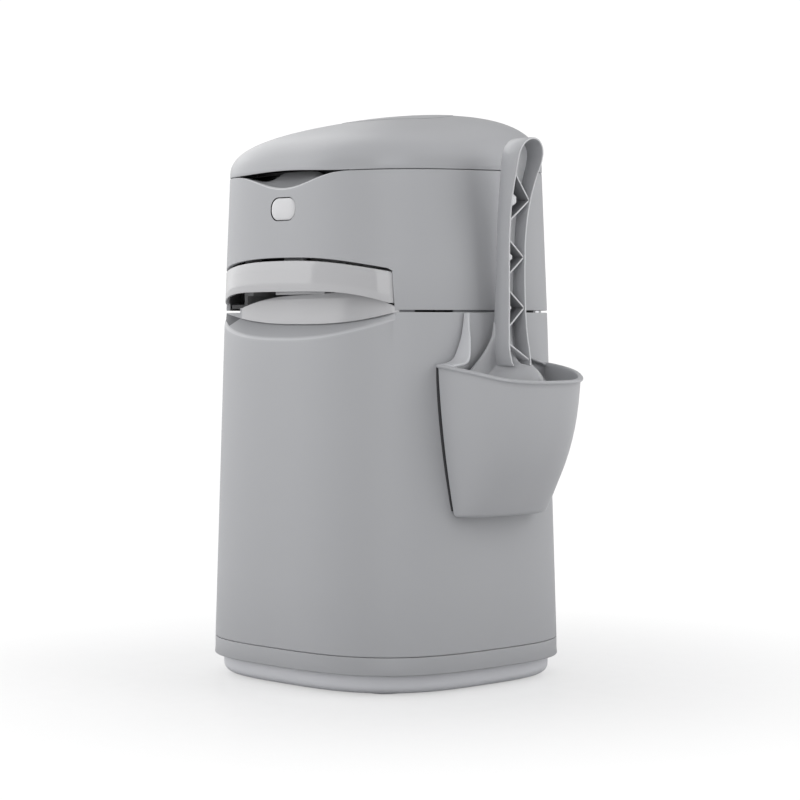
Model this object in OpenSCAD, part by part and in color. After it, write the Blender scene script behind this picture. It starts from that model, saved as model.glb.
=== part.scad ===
// Pet litter disposal pail: hinged head with a pull-out waste gate, domed lid,
// refill cassette, and a litter scoop that hangs in a side holder.
// Origin at the centre of the footprint on the floor, millimetres. The front faces -Y,
// the hinges are at the rear (+Y) and the scoop holder is on the +X side.

/* [Body] */
// Overall width of the body at its base
body_w = 234; // [226:1:240]
// Depth of the body as a share of its width
depth_ratio = 0.973; // [0.96:0.001:1]
// Squareness of the plan outline, where 2 is an ellipse
squareness = 3.12; // [2.9:0.02:3.4]
// Height of the seam between pail and head
seam_z = 274; // [272:1:276]
// Height of the seam between head and lid, at the front
lid_z = 375; // [374:0.5:376]
// Rise of the lid seam per millimetre towards the rear
lid_slope = 0.0225; // [0.015:0.0005:0.03]
// Wall thickness of the outer shells
wall = 2.6; // [2.2:0.1:2.8]
// Width of the shadow gap between pail and head
seam_gap = 1.6; // [1.2:0.1:2]

/* [Lid] */
// Height of the dome at its centre
dome_h = 45; // [38:0.5:50]
// Extra height towards the rear
dome_rise = 11.5; // [6:0.5:14]
// Depth of the finger notch below the lid
notch_depth = 10; // [6:0.5:11]
// Half width of the finger notch
notch_half = 60; // [40:1:62]

/* [Handle and gate] */
// Half width of the pull handle
grip_half = 91; // [88:0.5:92]
// How far the recess behind the handle goes in
recess_depth = 18.5; // [16:0.5:19]
// Radius of the waste throat
throat_r = 48; // [40:1:50]
// Gate plate thickness
gate_t = 3; // [2.4:0.1:3.2]

/* [Button] */
// Width of the release button
button_w = 26; // [20:0.5:27]
// Height of the release button
button_h = 16.5; // [16:0.5:19]
// Height of the button's centre
button_z = 348.8; // [348:0.1:351]

/* [Cassette] */
// Outside radius of the refill cassette
cassette_r = 78; // [70:0.5:78]
// Inside radius of the refill cassette
cassette_bore_r = 53; // [52:0.5:56]

/* [Scoop and holder] */
// Centre of the holder along the side of the body
hold_y = 4.5; // [0:0.5:8]
// Half length of the holder's mouth
hold_half = 57; // [56:0.5:60]
// How far the holder stands out from the body
hold_reach = 63; // [62:0.5:68]
// Wall thickness of the holder
hold_wall = 2.2; // [1.8:0.1:2.4]
// Centre of the scoop along the side of the body
scoop_y = 4.9; // [4:0.1:7]
// Overall height of the scoop's top above the floor
scoop_top = 400; // [396:1:402]

/* [Hidden] */

base_z = 2;           // height at which the body has its full width
pail_taper = 0.026;   // loss of half width per millimetre of height
head_taper = 0.0348;
pail_top = seam_z - 0.9;
head_bottom = pail_top + seam_gap;
tray_z = 259;
cassette_z = 208.4;
chassis_z = 276.2;
deck_z = 366.2;
gate_z = 290.1;

// screw places in plan
chassis_screw_xy = [[60, 84], [-60, 84], [95, 20], [-95, 20]];
deck_screw_xy = [[70.5, 70.5], [-70.5, 70.5], [94, -22], [-94, -22]];
liner_screw_xy = [[50, 45], [-50, 45], [50, -45], [-50, -45]];
screw_head_r = 3;
screw_shank_r = 1.5;
screw_hole_r = 1.7;
hex_r = 1.3;

shell_color = [0.66, 0.66, 0.67];
hinge_color = [0.6, 0.6, 0.61];
pin_color = [0.8, 0.8, 0.82];
screw_color = [0.75, 0.75, 0.77];
rubber_color = [0.16, 0.16, 0.17];

// ---------------------------------------------------------------- body outline
// half width and half depth of the body at height z
function half_w(z) =
  body_w/2 - pail_taper*(min(z, seam_z) - base_z) - head_taper*max(0, z - seam_z);
function half_d(z) = depth_ratio*half_w(z);
function lift(point, z) = [point[0], point[1], z];
// point of the outline at height z, moved in by inset, at a polar angle: in plan, then in space
function outline(z, inset, angle) =
  let(c = abs(cos(angle))/(half_w(z) - inset),
      s = abs(sin(angle))/(half_d(z) - inset),
      r = pow(pow(c, squareness) + pow(s, squareness), -1/squareness))
  [r*cos(angle), r*sin(angle)];
function body_pt(z, inset, angle) = lift(outline(z, inset, angle), z);
// share of a half axis left at share u of the other one
function curve_share(u) = pow(max(0, 1 - pow(min(1, u), squareness)), 1/squareness);
// outline ordinate at x on the front, and abscissa at y on the +X side
function front_y(z, inset, x) = -(half_d(z) - inset)*curve_share(abs(x)/(half_w(z) - inset));
function side_x(z, inset, y) = (half_w(z) - inset)*curve_share(abs(y)/(half_d(z) - inset));
// point inside the wall at height z, in the direction of a plan point
function wall_pt(point, z) = outline(z, 1.5, atan2(point[1], point[0]));

// polar angles, every 4 degrees with extra ones at the ends of the handle opening
ANGLES = [for (i = [0:89])
  each i == 55 ? [220, 220.9, 221.9] : i == 79 ? [316, 318.1, 319.1] : [4*i]];

// plan curve of the recess wall behind the handle
function recess_y(x) = -(half_d(seam_z) - recess_depth) + 6.5*pow(abs(x)/92, 2);
// arched edges of the handle band, of the pail's lip and of the ledge behind it
function arch(x, half, power) = pow(min(1, abs(x)/half), power);
function band_top(x) = 310.8 - 8.8*arch(x, 90, 2.5);
function band_bottom(x) = 288.2 - 9.2*arch(x, 90, 4.5);
function lip_z(x) = 253.8 + 13.7*arch(x, 93, 2.4);
function ledge_z(x) = 264.2 + 8.4*arch(x, 93, 2.5);
function in_opening(point) = point[1] < 0 && abs(point[0]) <= grip_half + 0.7;
// lid seam height at ordinate y, and depth of the finger notch at a plan point
function lid_seam(y) = lid_z + lid_slope*(y + half_d(lid_z));
function notch_dip(point) = point[1] < 0 && abs(point[0]) < notch_half
  ? notch_depth*pow(cos(90*point[0]/notch_half), 2.1) : 0;

// ---------------------------------------------------------------- shared shapes
function flat_list(sections) = [for (section = sections) each section];
// triangles between neighbouring sections, and back to the first one if closed
function skin(sections, closed = false) =
  let(rows = len(sections), cols = len(sections[0]), total = rows*cols)
  [for (i = [0:rows - (closed ? 1 : 2)], j = [0:cols-1])
    let(a = i*cols + j, b = i*cols + (j+1)%cols, c = (a + cols)%total, d = (b + cols)%total)
    each [[a, b, d], [a, d, c]]];
function reversed(faces) = [for (face = faces) [face[2], face[1], face[0]]];
function centroid(section) =
  [for (k = [0:2]) [for (p = section) p[k]]*[for (p = section) 1]]/len(section);

// closed ring of profiles
module ring(profiles) {
  polyhedron(points = flat_list(profiles), faces = skin(profiles, closed = true));
}
// stack of sections, each end closed by a fan about its centroid
module stack(sections) {
  rows = len(sections);
  cols = len(sections[0]);
  last = (rows - 1)*cols;
  ends = [centroid(sections[0]), centroid(sections[rows-1])];
  polyhedron(points = concat(flat_list(sections), ends),
    faces = concat(reversed(skin(sections)),
      [for (i = [0:cols-1]) [rows*cols, i, (i+1)%cols]],
      [for (i = [0:cols-1]) [rows*cols + 1, last + (i+1)%cols, last + i]]));
}
// strip along x, of 4-point sections
module strip(sections) {
  last = 4*len(sections) - 4;
  polyhedron(points = flat_list(sections),
    faces = concat([[0, 1, 2], [0, 2, 3]],
      [[last, last + 2, last + 1], [last, last + 3, last + 2]],
      reversed(skin(sections))));
}
// round wire coil along +Z
module coil(radius, wire_r, pitch, turns) {
  steps = 14;   // per turn
  sides = 6;    // of the wire
  count = floor(steps*turns);
  sections = [for (i = [0:count])
    let(turn = 360*i/steps)
    [for (k = [0:sides-1])
      let(b = 360*k/sides, r = radius + wire_r*cos(b))
      [r*cos(turn), r*sin(turn), pitch*i/steps + wire_r*sin(b)]]];
  polyhedron(points = flat_list(sections),
    faces = concat([[for (k = [sides-1:-1:0]) k]],
      [[for (k = [0:sides-1]) count*sides + k]],
      skin(sections)));
}
module plan(z, inset) {
  polygon([for (i = [0:71]) outline(z, inset, 5*i)]);
}
// low-x ends of a part of this width and of its twin across x = 0
function pair_x(inner, width) = [inner, -inner - width];
// rod along x
module x_rod(radius, x, length, y, z) {
  translate([x, y, z]) rotate([0, 90, 0]) cylinder(r = radius, h = length, $fn = 48);
}
// screw driven from below, its head under z
module screw_up(point, z, shank) {
  translate(lift(point, z)) {
    cylinder(r = screw_shank_r, h = shank, $fn = 24);
    translate([0, 0, -2]) difference() {
      cylinder(r = screw_head_r, h = 2, $fn = 32);
      translate([0, 0, -0.01]) cylinder(r = hex_r, h = 1.01, $fn = 6);
    }
  }
}
module screw_holes(places, z, height) {
  for (p = places) translate(lift(p, z)) cylinder(r = screw_hole_r, h = height, $fn = 24);
}

// ---------------------------------------------------------------- pail
// rim of the pail where it is plain, and where it drops to the lip below the handle
function plain_rim(angle) =
  [ body_pt(268, 0, angle),
    lift(outline(pail_top, 0, angle), pail_top - 0.5),
    body_pt(pail_top, 0.5, angle),
    body_pt(pail_top, 1, angle),
    body_pt(pail_top, wall, angle),
    body_pt(270, wall, angle),
    body_pt(262, wall, angle) ];
function lip_rim(angle, x) =
  let(z = lip_z(x), ledge = ledge_z(x), y = recess_y(x) + 2.3, y_in = y + 2.2)
  [ body_pt(z - 4, 0, angle),
    body_pt(z, 0, angle) + [0, 1.2, -0.2],
    [x, y, ledge],
    [x, y, pail_top],
    [x, y_in, pail_top],
    [x, y_in, ledge - 3],
    body_pt(z - 7, wall, angle) ];
module pail_shell() color(shell_color) ring([for (f = ANGLES)
  let(rim = outline(pail_top, 0, f))
  [ body_pt(24, 5, f), body_pt(24, 3.1, f), body_pt(29, 3.1, f), body_pt(29, 0, f),
    each in_opening(rim) ? lip_rim(f, rim[0]) : plain_rim(f),
    body_pt(34, wall, f), body_pt(31, 5, f) ]]);

// profiles of the base parts: inset from the outline, z
RING_PROFILE = [[5.4, 14.8], [0.4, 14.8], [0, 15.2], [0, 28.6], [2.8, 28.6], [2.8, 17.4],
  [5.4, 17.4]];
PAN_PROFILE = [[13, 2], [9.5, 2.5], [7.2, 4.5], [6.2, 8], [6, 14.4], [6, 23],
  [8.4, 23], [8.6, 9], [12, 4.8]];
pan_outline_z = 20;
module base_ring() color([0.64, 0.64, 0.65])
  ring([for (f = ANGLES) [for (p = RING_PROFILE) body_pt(p[1], p[0], f)]]);
module base_pan() color([0.72, 0.72, 0.74])
  stack([for (p = PAN_PROFILE) [for (f = ANGLES) lift(outline(pan_outline_z, p[0], f), p[1])]]);

module foot_pads() color([0.7, 0.7, 0.71])
  for (p = [[-73, -71], [73, -71], [-73, 71], [73, 71], [0, 0]])
    translate(lift(p, 0)) cylinder(r = 13, h = 1.9, $fn = 64);

// screw heads on the inner side of the pan's rim, one on each side of the body
module base_screws() color(screw_color) for (i = [0:3]) rotate([0, 0, 90*i]) {
  reach = i % 2 == 0 ? half_w(pan_outline_z) : half_d(pan_outline_z);
  translate([reach - 10.9, 0, 18.5]) rotate([0, 90, 0])
    cylinder(r = screw_head_r, h = 1.9, $fn = 32);
}

cup_r = 82.4;
module cassette_tray() color([0.8, 0.8, 0.82]) union() {
  translate([0, 0, tray_z]) linear_extrude(3) difference() {
    intersection() {
      plan(262, wall + 1.3);
      translate([-150, -half_d(seam_z) + recess_depth + 9]) square([300, 300]);
    }
    circle(r = 80.5, $fn = 96);
  }
  translate([0, 0, 205]) rotate_extrude($fn = 96)
    polygon([[60, 0], [cup_r, 0], [cup_r, 54.5], [cup_r - 2.2, 54.5], [cup_r - 2.2, 3], [60, 3]]);
  // keepers for the two latch hooks: inner post, top and rear wall
  for (x = pair_x(83.5, 3.2)) translate([x, -56, tray_z + 2]) cube([3.2, 9, 8.2]);
  for (x = pair_x(83.5, 11.5)) {
    translate([x, -56, 266.4]) cube([11.5, 7, 2.8]);
    translate([x, -51, tray_z + 2]) cube([11.5, 2, 8.2]);
  }
}

// radii of the cassette's rim and of its wall faces
cassette_rim_r = cassette_r + 1.6;
cassette_in_r = cassette_r - 1.6;
cassette_core_r = cassette_bore_r + 1.6;
module cassette_body() color([0.93, 0.93, 0.9]) translate([0, 0, cassette_z])
  rotate_extrude($fn = 96) polygon([
    [cassette_bore_r, 0], [cassette_r, 0], [cassette_r, 52], [cassette_rim_r, 52],
    [cassette_rim_r, 53.6], [cassette_in_r, 53.6], [cassette_in_r, 1.6],
    [cassette_core_r, 1.6], [cassette_core_r, 51], [cassette_bore_r, 51]]);
module cassette_cap() color([0.3, 0.62, 0.72]) translate([0, 0, 262.2])
  rotate_extrude($fn = 96)
    polygon([[58, 0], [cassette_rim_r, 0], [cassette_rim_r, 2.2], [58, 2.2]]);

// pleated film: 12 folds on the outside and the inside
fold_pitch = 4;
module film_pack() color([0.9, 0.92, 0.95]) translate([0, 0, 210.2]) rotate_extrude($fn = 96) {
  outer = cassette_r - 2.4;
  inner = cassette_bore_r + 2.4;
  polygon(concat(
    [for (i = [0:11]) let(z = fold_pitch*i)
      each [[outer, z], [outer, z + 2.9], [outer - 1.6, z + 3.4]]],
    [for (i = [11:-1:0]) let(z = fold_pitch*i)
      each [[inner + 0.8, z + 3.4], [inner, z + 2.9], [inner, z]]]));
}

// outer profile of the hanging bag: radius, z
BAG_PROFILE = [[51, 250], [50.5, 205], [54, 188], [66, 165], [74, 140], [77, 115], [73, 88],
  [60, 66], [36, 50], [14, 43], [5, 38], [4, 30], [9, 22]];
module film_bag() color([0.92, 0.94, 0.97]) rotate_extrude($fn = 72) polygon(concat(
  BAG_PROFILE, [[0, 22], [0, 32]],
  [for (i = [9:-1:0]) BAG_PROFILE[i] + [-1, i > 7 ? 1 : 0]]));

module at_cutter(z) {
  translate([67, 67, z]) rotate([0, 0, 45]) children();
}
module cutter_housing() color([0.25, 0.25, 0.27]) at_cutter(262.1) difference() {
  translate([-7, -17, 0]) cube([14, 34, 5.6]);
  translate([-7.1, -11, 1.8]) cube([9, 22, 2]);
}
module cutter_blade() color([0.8, 0.82, 0.84]) at_cutter(264.2) linear_extrude(0.6)
  polygon([[1.6, -10.6], [1.6, 10.6], [-3, 10.6], [-5.5, 0], [-3, -10.6]]);

// keyhole stud on the side of the pail that carries the scoop holder
stud_z = 256;
module holder_stud() color([0.62, 0.62, 0.63])
  translate([half_w(stud_z) + 0.1, hold_y, stud_z]) rotate([0, 90, 0]) {
    cylinder(r = 3.4, h = 2, $fn = 48);
    translate([0, 0, 1.9]) cylinder(r = 6, h = 1.6, $fn = 48);
  }

// ---------------------------------------------------------------- hinges
head_hinge_y = 113.2;
head_hinge_r = 5.2;
lid_hinge_y = 109.2;
lid_hinge_z = 380.4;
hinge_pin_r = 2;
pin_bore_r = 2.06;

// bored barrel with a leaf that runs up or down to leaf_z, its front face at leaf_y
module knuckle(x, width, y, z, radius, leaf_y, leaf_z) {
  gap = 0.2*radius;
  difference() {
    union() {
      x_rod(radius, x, width, y, z);
      translate([x, leaf_y, min(leaf_z, z + gap)])
        cube([width, y - leaf_y + 0.55*radius, abs(leaf_z - z) - gap]);
    }
    x_rod(pin_bore_r, x - 1, width + 2, y, z);
  }
}
module head_hinge_brackets() color(hinge_color) for (x = pair_x(40, 12)) {
  knuckle(x, 12, head_hinge_y, seam_z, head_hinge_r, leaf_y = 107.9, leaf_z = 246);
  // small discs on the front face of the leaf
  for (z = [250, 259]) translate([x + 6, 107.9, z]) rotate([90, 0, 0])
    cylinder(r = 1.4, h = 0.3, $fn = 24);
}
module head_hinge_arms() color(hinge_color) for (x = pair_x(26, 13.6))
  knuckle(x, 13.6, head_hinge_y, seam_z, head_hinge_r, leaf_y = 107.2, leaf_z = 300);
module head_hinge_pins() color(pin_color) for (x = pair_x(25.4, 27.2))
  x_rod(hinge_pin_r, x, 27.2, head_hinge_y, seam_z);
module lid_hinge_brackets() color(hinge_color) for (x = pair_x(34, 10))
  knuckle(x, 10, lid_hinge_y, lid_hinge_z, 4.5, leaf_y = 104.5, leaf_z = 360);
module lid_hinge_arms() color(hinge_color) for (x = pair_x(21, 12.6)) difference() {
  union() {
    x_rod(4.4, x, 12.6, lid_hinge_y, lid_hinge_z);
    translate([x, 103.7, lid_hinge_z + 1]) cube([12.6, 7.6, 11]);
  }
  x_rod(pin_bore_r, x - 1, 15, lid_hinge_y, lid_hinge_z);
}
module lid_hinge_pins() color(pin_color) for (x = pair_x(20.4, 24.2))
  x_rod(hinge_pin_r, x, 24.2, lid_hinge_y, lid_hinge_z);

// ---------------------------------------------------------------- head
button_corner_r = 7.5;
button_gap = 0.45;

// profile of the head's wall with its inward flange under the lid
function head_profile(angle) =
  let(low = outline(head_bottom, 0, angle),
      bottom = in_opening(low) ? band_top(low[0]) + 2.3 : head_bottom,
      rim = outline(lid_z, 0, angle),
      top = lid_seam(rim[1]) - 0.45 - notch_dip(rim),
      flange = lid_seam(rim[1]) - 1.6,
      fall = flange - top)
  [ body_pt(bottom, wall, angle),
    body_pt(bottom, 0.4, angle),
    lift(outline(bottom, 0, angle), bottom + 0.4),
    lift(outline(top, 0, angle), top - 1.2),
    body_pt(top, 0.7, angle),
    lift(outline(lid_z, 4, angle), top + 0.35*fall),
    lift(outline(lid_z, 9, angle), top + 0.8*fall),
    lift(outline(lid_z, 15, angle), flange),
    lift(outline(lid_z, 15, angle), flange - 2),
    lift(outline(lid_z, 9, angle), top - 2.2 + 0.8*fall),
    lift(outline(lid_z, wall + 1, angle), top - 2.8) ];
// screw boss joined to the wall by a web
module boss(point, z, height, wall_z, web_z, web_h) {
  hull() {
    translate(lift(point, z)) cylinder(r = 4, h = height, $fn = 20);
    translate(lift(wall_pt(point, wall_z), web_z)) cylinder(r = 0.9, h = web_h, $fn = 12);
  }
}
module head_shell() color(shell_color) union() {
  difference() {
    ring([for (f = ANGLES) head_profile(f)]);
    // button hole
    hull() for (x = [-1, 1], z = [-1, 1])
      translate([x*(button_w/2 + button_gap - button_corner_r), -half_d(350) - 4,
          button_z + z*(button_h/2 + button_gap - button_corner_r)])
        rotate([-90, 0, 0]) cylinder(r = button_corner_r, h = 12, $fn = 32);
  }
  for (p = chassis_screw_xy) boss(p, 280.9, 14, wall_z = 300, web_z = 283, web_h = 18);
  for (p = deck_screw_xy) boss(p, 352, 13.9, wall_z = 365, web_z = 346, web_h = 17);
}

// waste funnel with its deck
mouth_r = 79;
module hopper() color([0.78, 0.78, 0.8]) union() {
  translate([0, 0, deck_z]) linear_extrude(2) difference() {
    intersection() {
      plan(deck_z, wall + 1.9);
      translate([-150, -89.5]) square([300, 300]);
    }
    circle(r = mouth_r, $fn = 96);
  }
  rotate_extrude($fn = 96) polygon([
    [throat_r, 301], [throat_r, 298], [throat_r + 8.5, 298], [throat_r + 8.5, 301.4],
    [throat_r + 2.6, 301.4], [mouth_r + 2.4, deck_z - 6], [mouth_r + 2.4, deck_z + 1],
    [mouth_r, deck_z + 2], [mouth_r, deck_z - 5]]);
  // wall the latch spring bears on
  translate([-5, -77.6, 338]) cube([10, 4, 9]);
}

// centre of the latch arms in plan, on each side
latch_arm_x = 90.2;
latch_arm_y = -64.5;
chimney_r = throat_r + 2;
module chassis_outline(inset) {
  side_y = recess_y(92) + 2.2;
  intersection() {
    plan(seam_z, inset);
    polygon(concat([[-150, 150], [-150, side_y]],
      [for (x = [-92:4:92]) [x, recess_y(x) + 2.2]],
      [[150, side_y], [150, 150]]));
  }
}
module chassis() color([0.7, 0.7, 0.72]) union() {
  difference() {
    translate([0, 0, chassis_z]) linear_extrude(3) difference() {
      chassis_outline(4.5);
      circle(r = chimney_r, $fn = 96);
      for (side = [-1, 1])
        translate([side*latch_arm_x, latch_arm_y]) square([8.4, 21], center = true);
    }
    screw_holes(chassis_screw_xy, 270, 20);
  }
  // chimney that meets the cassette below and carries the gate above
  translate([0, 0, 267.2]) rotate_extrude($fn = 96)
    polygon([[chimney_r, 0], [chimney_r + 3, 0], [chimney_r + 3, 22.2], [chimney_r, 22.2]]);
  // locating skirt inside the pail's rim
  translate([0, 0, 268]) linear_extrude(8.4) difference() {
    chassis_outline(9);
    chassis_outline(11);
    translate([-100, -150]) square([200, 105]);
  }
}
module grip_recess() color([0.72, 0.72, 0.73]) strip([for (i = [0:30])
  let(x = -90.4 + 180.8*i/30, y = recess_y(x), bottom = ledge_z(x) + 0.6,
      top = 285.6 - 8.5*arch(x, 93, 3))
  [[x, y, bottom], [x, y + 1.9, bottom], [x, y + 1.9, top], [x, y, top]]]);

latch_pivot_y = -62.5;
latch_pivot_z = 318;
module gate_rails() color([0.82, 0.82, 0.83]) for (side = [0, 1]) mirror([side, 0, 0])
  difference() {
    union() {
      translate([80, -70, 279.3]) cube([3.4, 136, 17.9]);
      // lower and upper flanges, with the gate between them
      translate([73, -70, 286]) cube([7.4, 136, 3.4]);
      translate([73, -70, 293.7]) cube([7.4, 136, 3.5]);
      // post for the latch pivot
      translate([80, -69, 297]) cube([3.4, 13, 27]);
    }
    x_rod(2.03, 79, 5, latch_pivot_y, latch_pivot_z);
  }
module gate_seal() color(rubber_color) rotate_extrude($fn = 96) polygon([
  [throat_r + 0.6, 293.15], [throat_r + 7.5, 293.15], [throat_r + 7.5, 295],
  [throat_r + 5, 296], [throat_r + 5, 297.9], [throat_r + 0.6, 297.9]]);
module chassis_screws() color(screw_color)
  for (p = chassis_screw_xy) screw_up(p, chassis_z - 0.1, shank = 4.4);
module deck_screws() color(screw_color) for (p = deck_screw_xy)
  translate(lift(p, deck_z + 2.1)) difference() {
    cylinder(r = screw_head_r, h = 1.8, $fn = 32);
    translate([0, 0, 0.9]) cylinder(r = hex_r, h = 1, $fn = 6);
  }
module latch_pivot_pins() color(pin_color) for (x = pair_x(79.8, 13.2))
  x_rod(1.98, x, 13.2, latch_pivot_y, latch_pivot_z);
module latch_spring() color(pin_color) translate([0, -78.4, 342.5]) rotate([90, 0, 0])
  coil(radius = 2.9, wire_r = 0.42, pitch = 1.1, turns = 5);

// ---------------------------------------------------------------- lid
// height of the lid's surface, or of its inner face when moved in by inset
function dome(x, y, inset = 0) =
  let(a = half_w(lid_z) - inset, b = half_d(lid_z) - inset,
      r = pow(pow(abs(x)/a, squareness) + pow(abs(y)/b, squareness), 1/squareness),
      crown = dome_h - inset + dome_rise*(y/b) + 5.4*pow(y/b, 2))
  lid_seam(y) + 0.45 + crown*pow(max(0, 1 - pow(min(1, r), 1.95)), 1/2.6);
function dome_ring(share, inset) =
  [for (f = ANGLES) let(p = outline(lid_z, inset, f)*share) lift(p, dome(p[0], p[1], inset))];
// shares of the outline at which the dome's rings lie, outside and inside
DOME_SHARES = [1, 0.995, 0.98, 0.955, 0.92, 0.87, 0.8, 0.7, 0.58, 0.44, 0.28, 0.12];
CAVITY_SHARES = [1, 0.985, 0.94, 0.86, 0.72, 0.5, 0.25];
module lid_shell() color([0.68, 0.68, 0.69]) union() {
  difference() {
    stack([for (share = DOME_SHARES) dome_ring(share, 0)]);
    stack(concat(
      [[for (f = ANGLES) lift(outline(lid_z, wall, f), lid_z - 8)]],
      [for (share = CAVITY_SHARES) dome_ring(share, wall)]));
  }
  // posts that carry the liner
  for (p = concat(liner_screw_xy, [[0, 60], [0, -60], [65, 0], [-65, 0]])) hull() {
    translate(lift(p, 377.8)) cylinder(r = 3.5, h = 1, $fn = 16);
    translate(lift(p, dome(p[0], p[1]) - 5)) cylinder(r = 4.2, h = 2, $fn = 16);
  }
}

// trim panel set on the crown of the lid, an ellipse in plan
inlay_y = 12;
inlay_half = [46, 40];
function inlay_ring(share, rise) = [for (i = [0:47])
  let(a = 360*i/48, x = inlay_half[0]*share*cos(a), y = inlay_y + inlay_half[1]*share*sin(a))
  [x, y, dome(x, y) + rise]];
module lid_inlay() color([0.74, 0.74, 0.75]) stack(concat(
  [for (share = [0.2, 0.4, 0.6, 0.8, 0.99]) inlay_ring(share, 0.3)],
  [inlay_ring(1, 0.6)],
  [for (share = [0.985, 0.8, 0.6, 0.4, 0.2]) inlay_ring(share, 0.8)]));
module lid_liner() color([0.8, 0.8, 0.82]) difference() {
  union() {
    translate([0, 0, 375.4]) linear_extrude(2) plan(lid_z, 17.5);
    translate([0, 0, 372.6]) linear_extrude(3) difference() {
      circle(r = 87.4, $fn = 96);
      circle(r = 80.6, $fn = 96);
    }
  }
  screw_holes(liner_screw_xy, 370, 12);
}
module lid_gasket() color(rubber_color) translate([0, 0, deck_z + 2.3])
  rotate_extrude($fn = 96) polygon([[82.6, 0], [84.6, 0], [86.6, 3.9], [82, 3.9]]);
module liner_screws() color(screw_color)
  for (p = liner_screw_xy) screw_up(p, 375.3, shank = 2.3);

// ---------------------------------------------------------------- handle and gate
band_z = 297;         // height at which the band follows the body outline
bracket_z = 286.3;    // underside of the plates behind the band
gate_screw_xy = [for (x = [-45, -20, 20, 45]) [x, -72]];
module pull_handle() color([0.74, 0.74, 0.75]) union() {
  strip([for (i = [0:40])
    let(x = -88.6 + 177.2*i/40, top = band_top(x), bottom = band_bottom(x),
        y = front_y(band_z, -0.9, x), y_in = max(y + 3, front_y(band_z, 2.4, x*0.985)))
    [[x, y, bottom], [x, y_in, bottom], [x, y_in, top], [x, y, top]]]);
  translate([-27, -104, bracket_z]) cube([54, 24, 3.6]);
  translate([-58, -82, bracket_z]) cube([116, 19, 3.6]);
  // upright ribs
  for (x = [-50, -18, 18, 50])
    translate([x - 1.2, abs(x) > 30 ? -101.5 : -104, bracket_z]) cube([2.4, 20, 12]);
}
module gate_plate() color([0.86, 0.86, 0.87]) difference() {
  translate([-79, -80, gate_z]) cube([158, 144, gate_t]);
  screw_holes(gate_screw_xy, gate_z - 1, 6);
}
module gate_screws() color(screw_color) for (p = gate_screw_xy) translate(lift(p, gate_z)) {
  cylinder(r = screw_shank_r, h = gate_t, $fn = 24);
  translate([0, 0, gate_t + 0.05]) cylinder(r = 2.9, h = 1.3, $fn = 32);
  // neck that joins shank and head
  translate([0, 0, gate_t - 0.1]) cylinder(r = screw_shank_r, h = 0.3, $fn = 24);
}

// ---------------------------------------------------------------- button and latch
stem_end_y = -91.5;
module release_button() color([0.8, 0.8, 0.81]) union() {
  front = -half_d(button_z);
  translate([0, front + 6.5, button_z]) rotate([90, 0, 0]) linear_extrude(6.2)
    hull() for (x = [-1, 1], z = [-1, 1])
      translate([x*(button_w/2 - button_corner_r), z*(button_h/2 - button_corner_r)])
        circle(r = button_corner_r, $fn = 32);
  translate([0, front + 6.4, button_z]) rotate([-90, 0, 0])
    cylinder(r = 3, h = stem_end_y - front - 6.4, $fn = 32);
}
// upright bar between two plan points
module latch_bar(start, end) {
  hull() for (p = [start, end]) translate(lift(p, 338)) cylinder(r = 1.9, h = 8, $fn = 16);
}
module latch_yoke() color([0.3, 0.3, 0.32]) union() {
  corner = [44, -86.6];
  difference() {
    // side arms with pivot eyes and hooks at their feet
    union() for (x = pair_x(latch_arm_x - 2, 4)) {
      translate([x, -66.5, 263]) cube([4, 8, 82]);
      x_rod(5.2, x, 4, latch_pivot_y, latch_pivot_z);
      translate([x, -66.5, 262.8]) cube([4, 13.2, 3]);
    }
    for (x = pair_x(87, 6.5)) x_rod(pin_bore_r, x, 6.5, latch_pivot_y, latch_pivot_z);
  }
  for (side = [-1, 1])
    latch_bar([side*latch_arm_x, latch_arm_y], [side*corner[0], corner[1]]);
  latch_bar([-corner[0], corner[1]], corner);
  // pad behind the button's stem
  translate([-7, -90.6, 341]) cube([14, 5, 9.4]);
}

// ---------------------------------------------------------------- holder
hold_bottom = 126;
hold_power = 2/2.55;   // roundness of the holder's plan
// reach of the holder as a share of its full reach: z, share
HOLD_REACH = [[126, 0.365], [132, 0.44], [138.8, 0.515], [150, 0.622], [161, 0.724],
  [172.6, 0.806], [184, 0.87], [195, 0.918], [206, 0.953], [217, 0.98], [228, 1]];
// shares of the holder's height at which its sections lie
HOLD_LEVELS = [0, 0.05, 0.12, 0.22, 0.35, 0.5, 0.7, 0.9, 0.97];
function hold_half_at(z) = hold_half - 11.5*pow(max(0, (236 - z)/110), 1.8);
// height of a point at abscissa x; the rim falls away from the body
function hold_z(level, x) = hold_bottom + level*(236.3 - 0.21*(x - 107) - hold_bottom);
// section moved in by inset: 29 points round the outside, then 12 along the body
function hold_section(level, inset) =
  let(z = hold_bottom + 104*level,
      reach = hold_reach*lookup(z, HOLD_REACH) - inset,
      half = hold_half_at(z) - inset,
      extra = max(0, inset))
  concat(
    [for (i = [0:28])
      let(t = -90 + 180*i/28,
          y = hold_y + half*sign(sin(t))*pow(abs(sin(t)), hold_power),
          bulge = half_w(z) - 3.9 + max(0, reach*pow(max(0, cos(t)), hold_power)),
          x = max(bulge, side_x(z, -1.4 - extra, y)))
      [x, y, hold_z(level, x)]],
    [for (i = [1:12])
      let(y = hold_y + half*(1 - 2*i/13), x = side_x(z, -0.8 - extra, y))
      [x, y, hold_z(level, x)]]);
// section of the hanger arm, which flares towards its foot
function arm_section(z) =
  let(half = 31.5, foot = half + 21*pow(max(0, (263 - z)/37), 1.9))
  concat(
    [for (i = [0:9]) let(y = hold_y + foot*(1 - 2*i/9)) [side_x(z, -0.8, y), y, z]],
    [for (i = [0:9]) let(u = 2*i/9 - 1) [half_w(z) + 6 - 0.6*u*u*1, hold_y + half*u, z]]);
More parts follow.
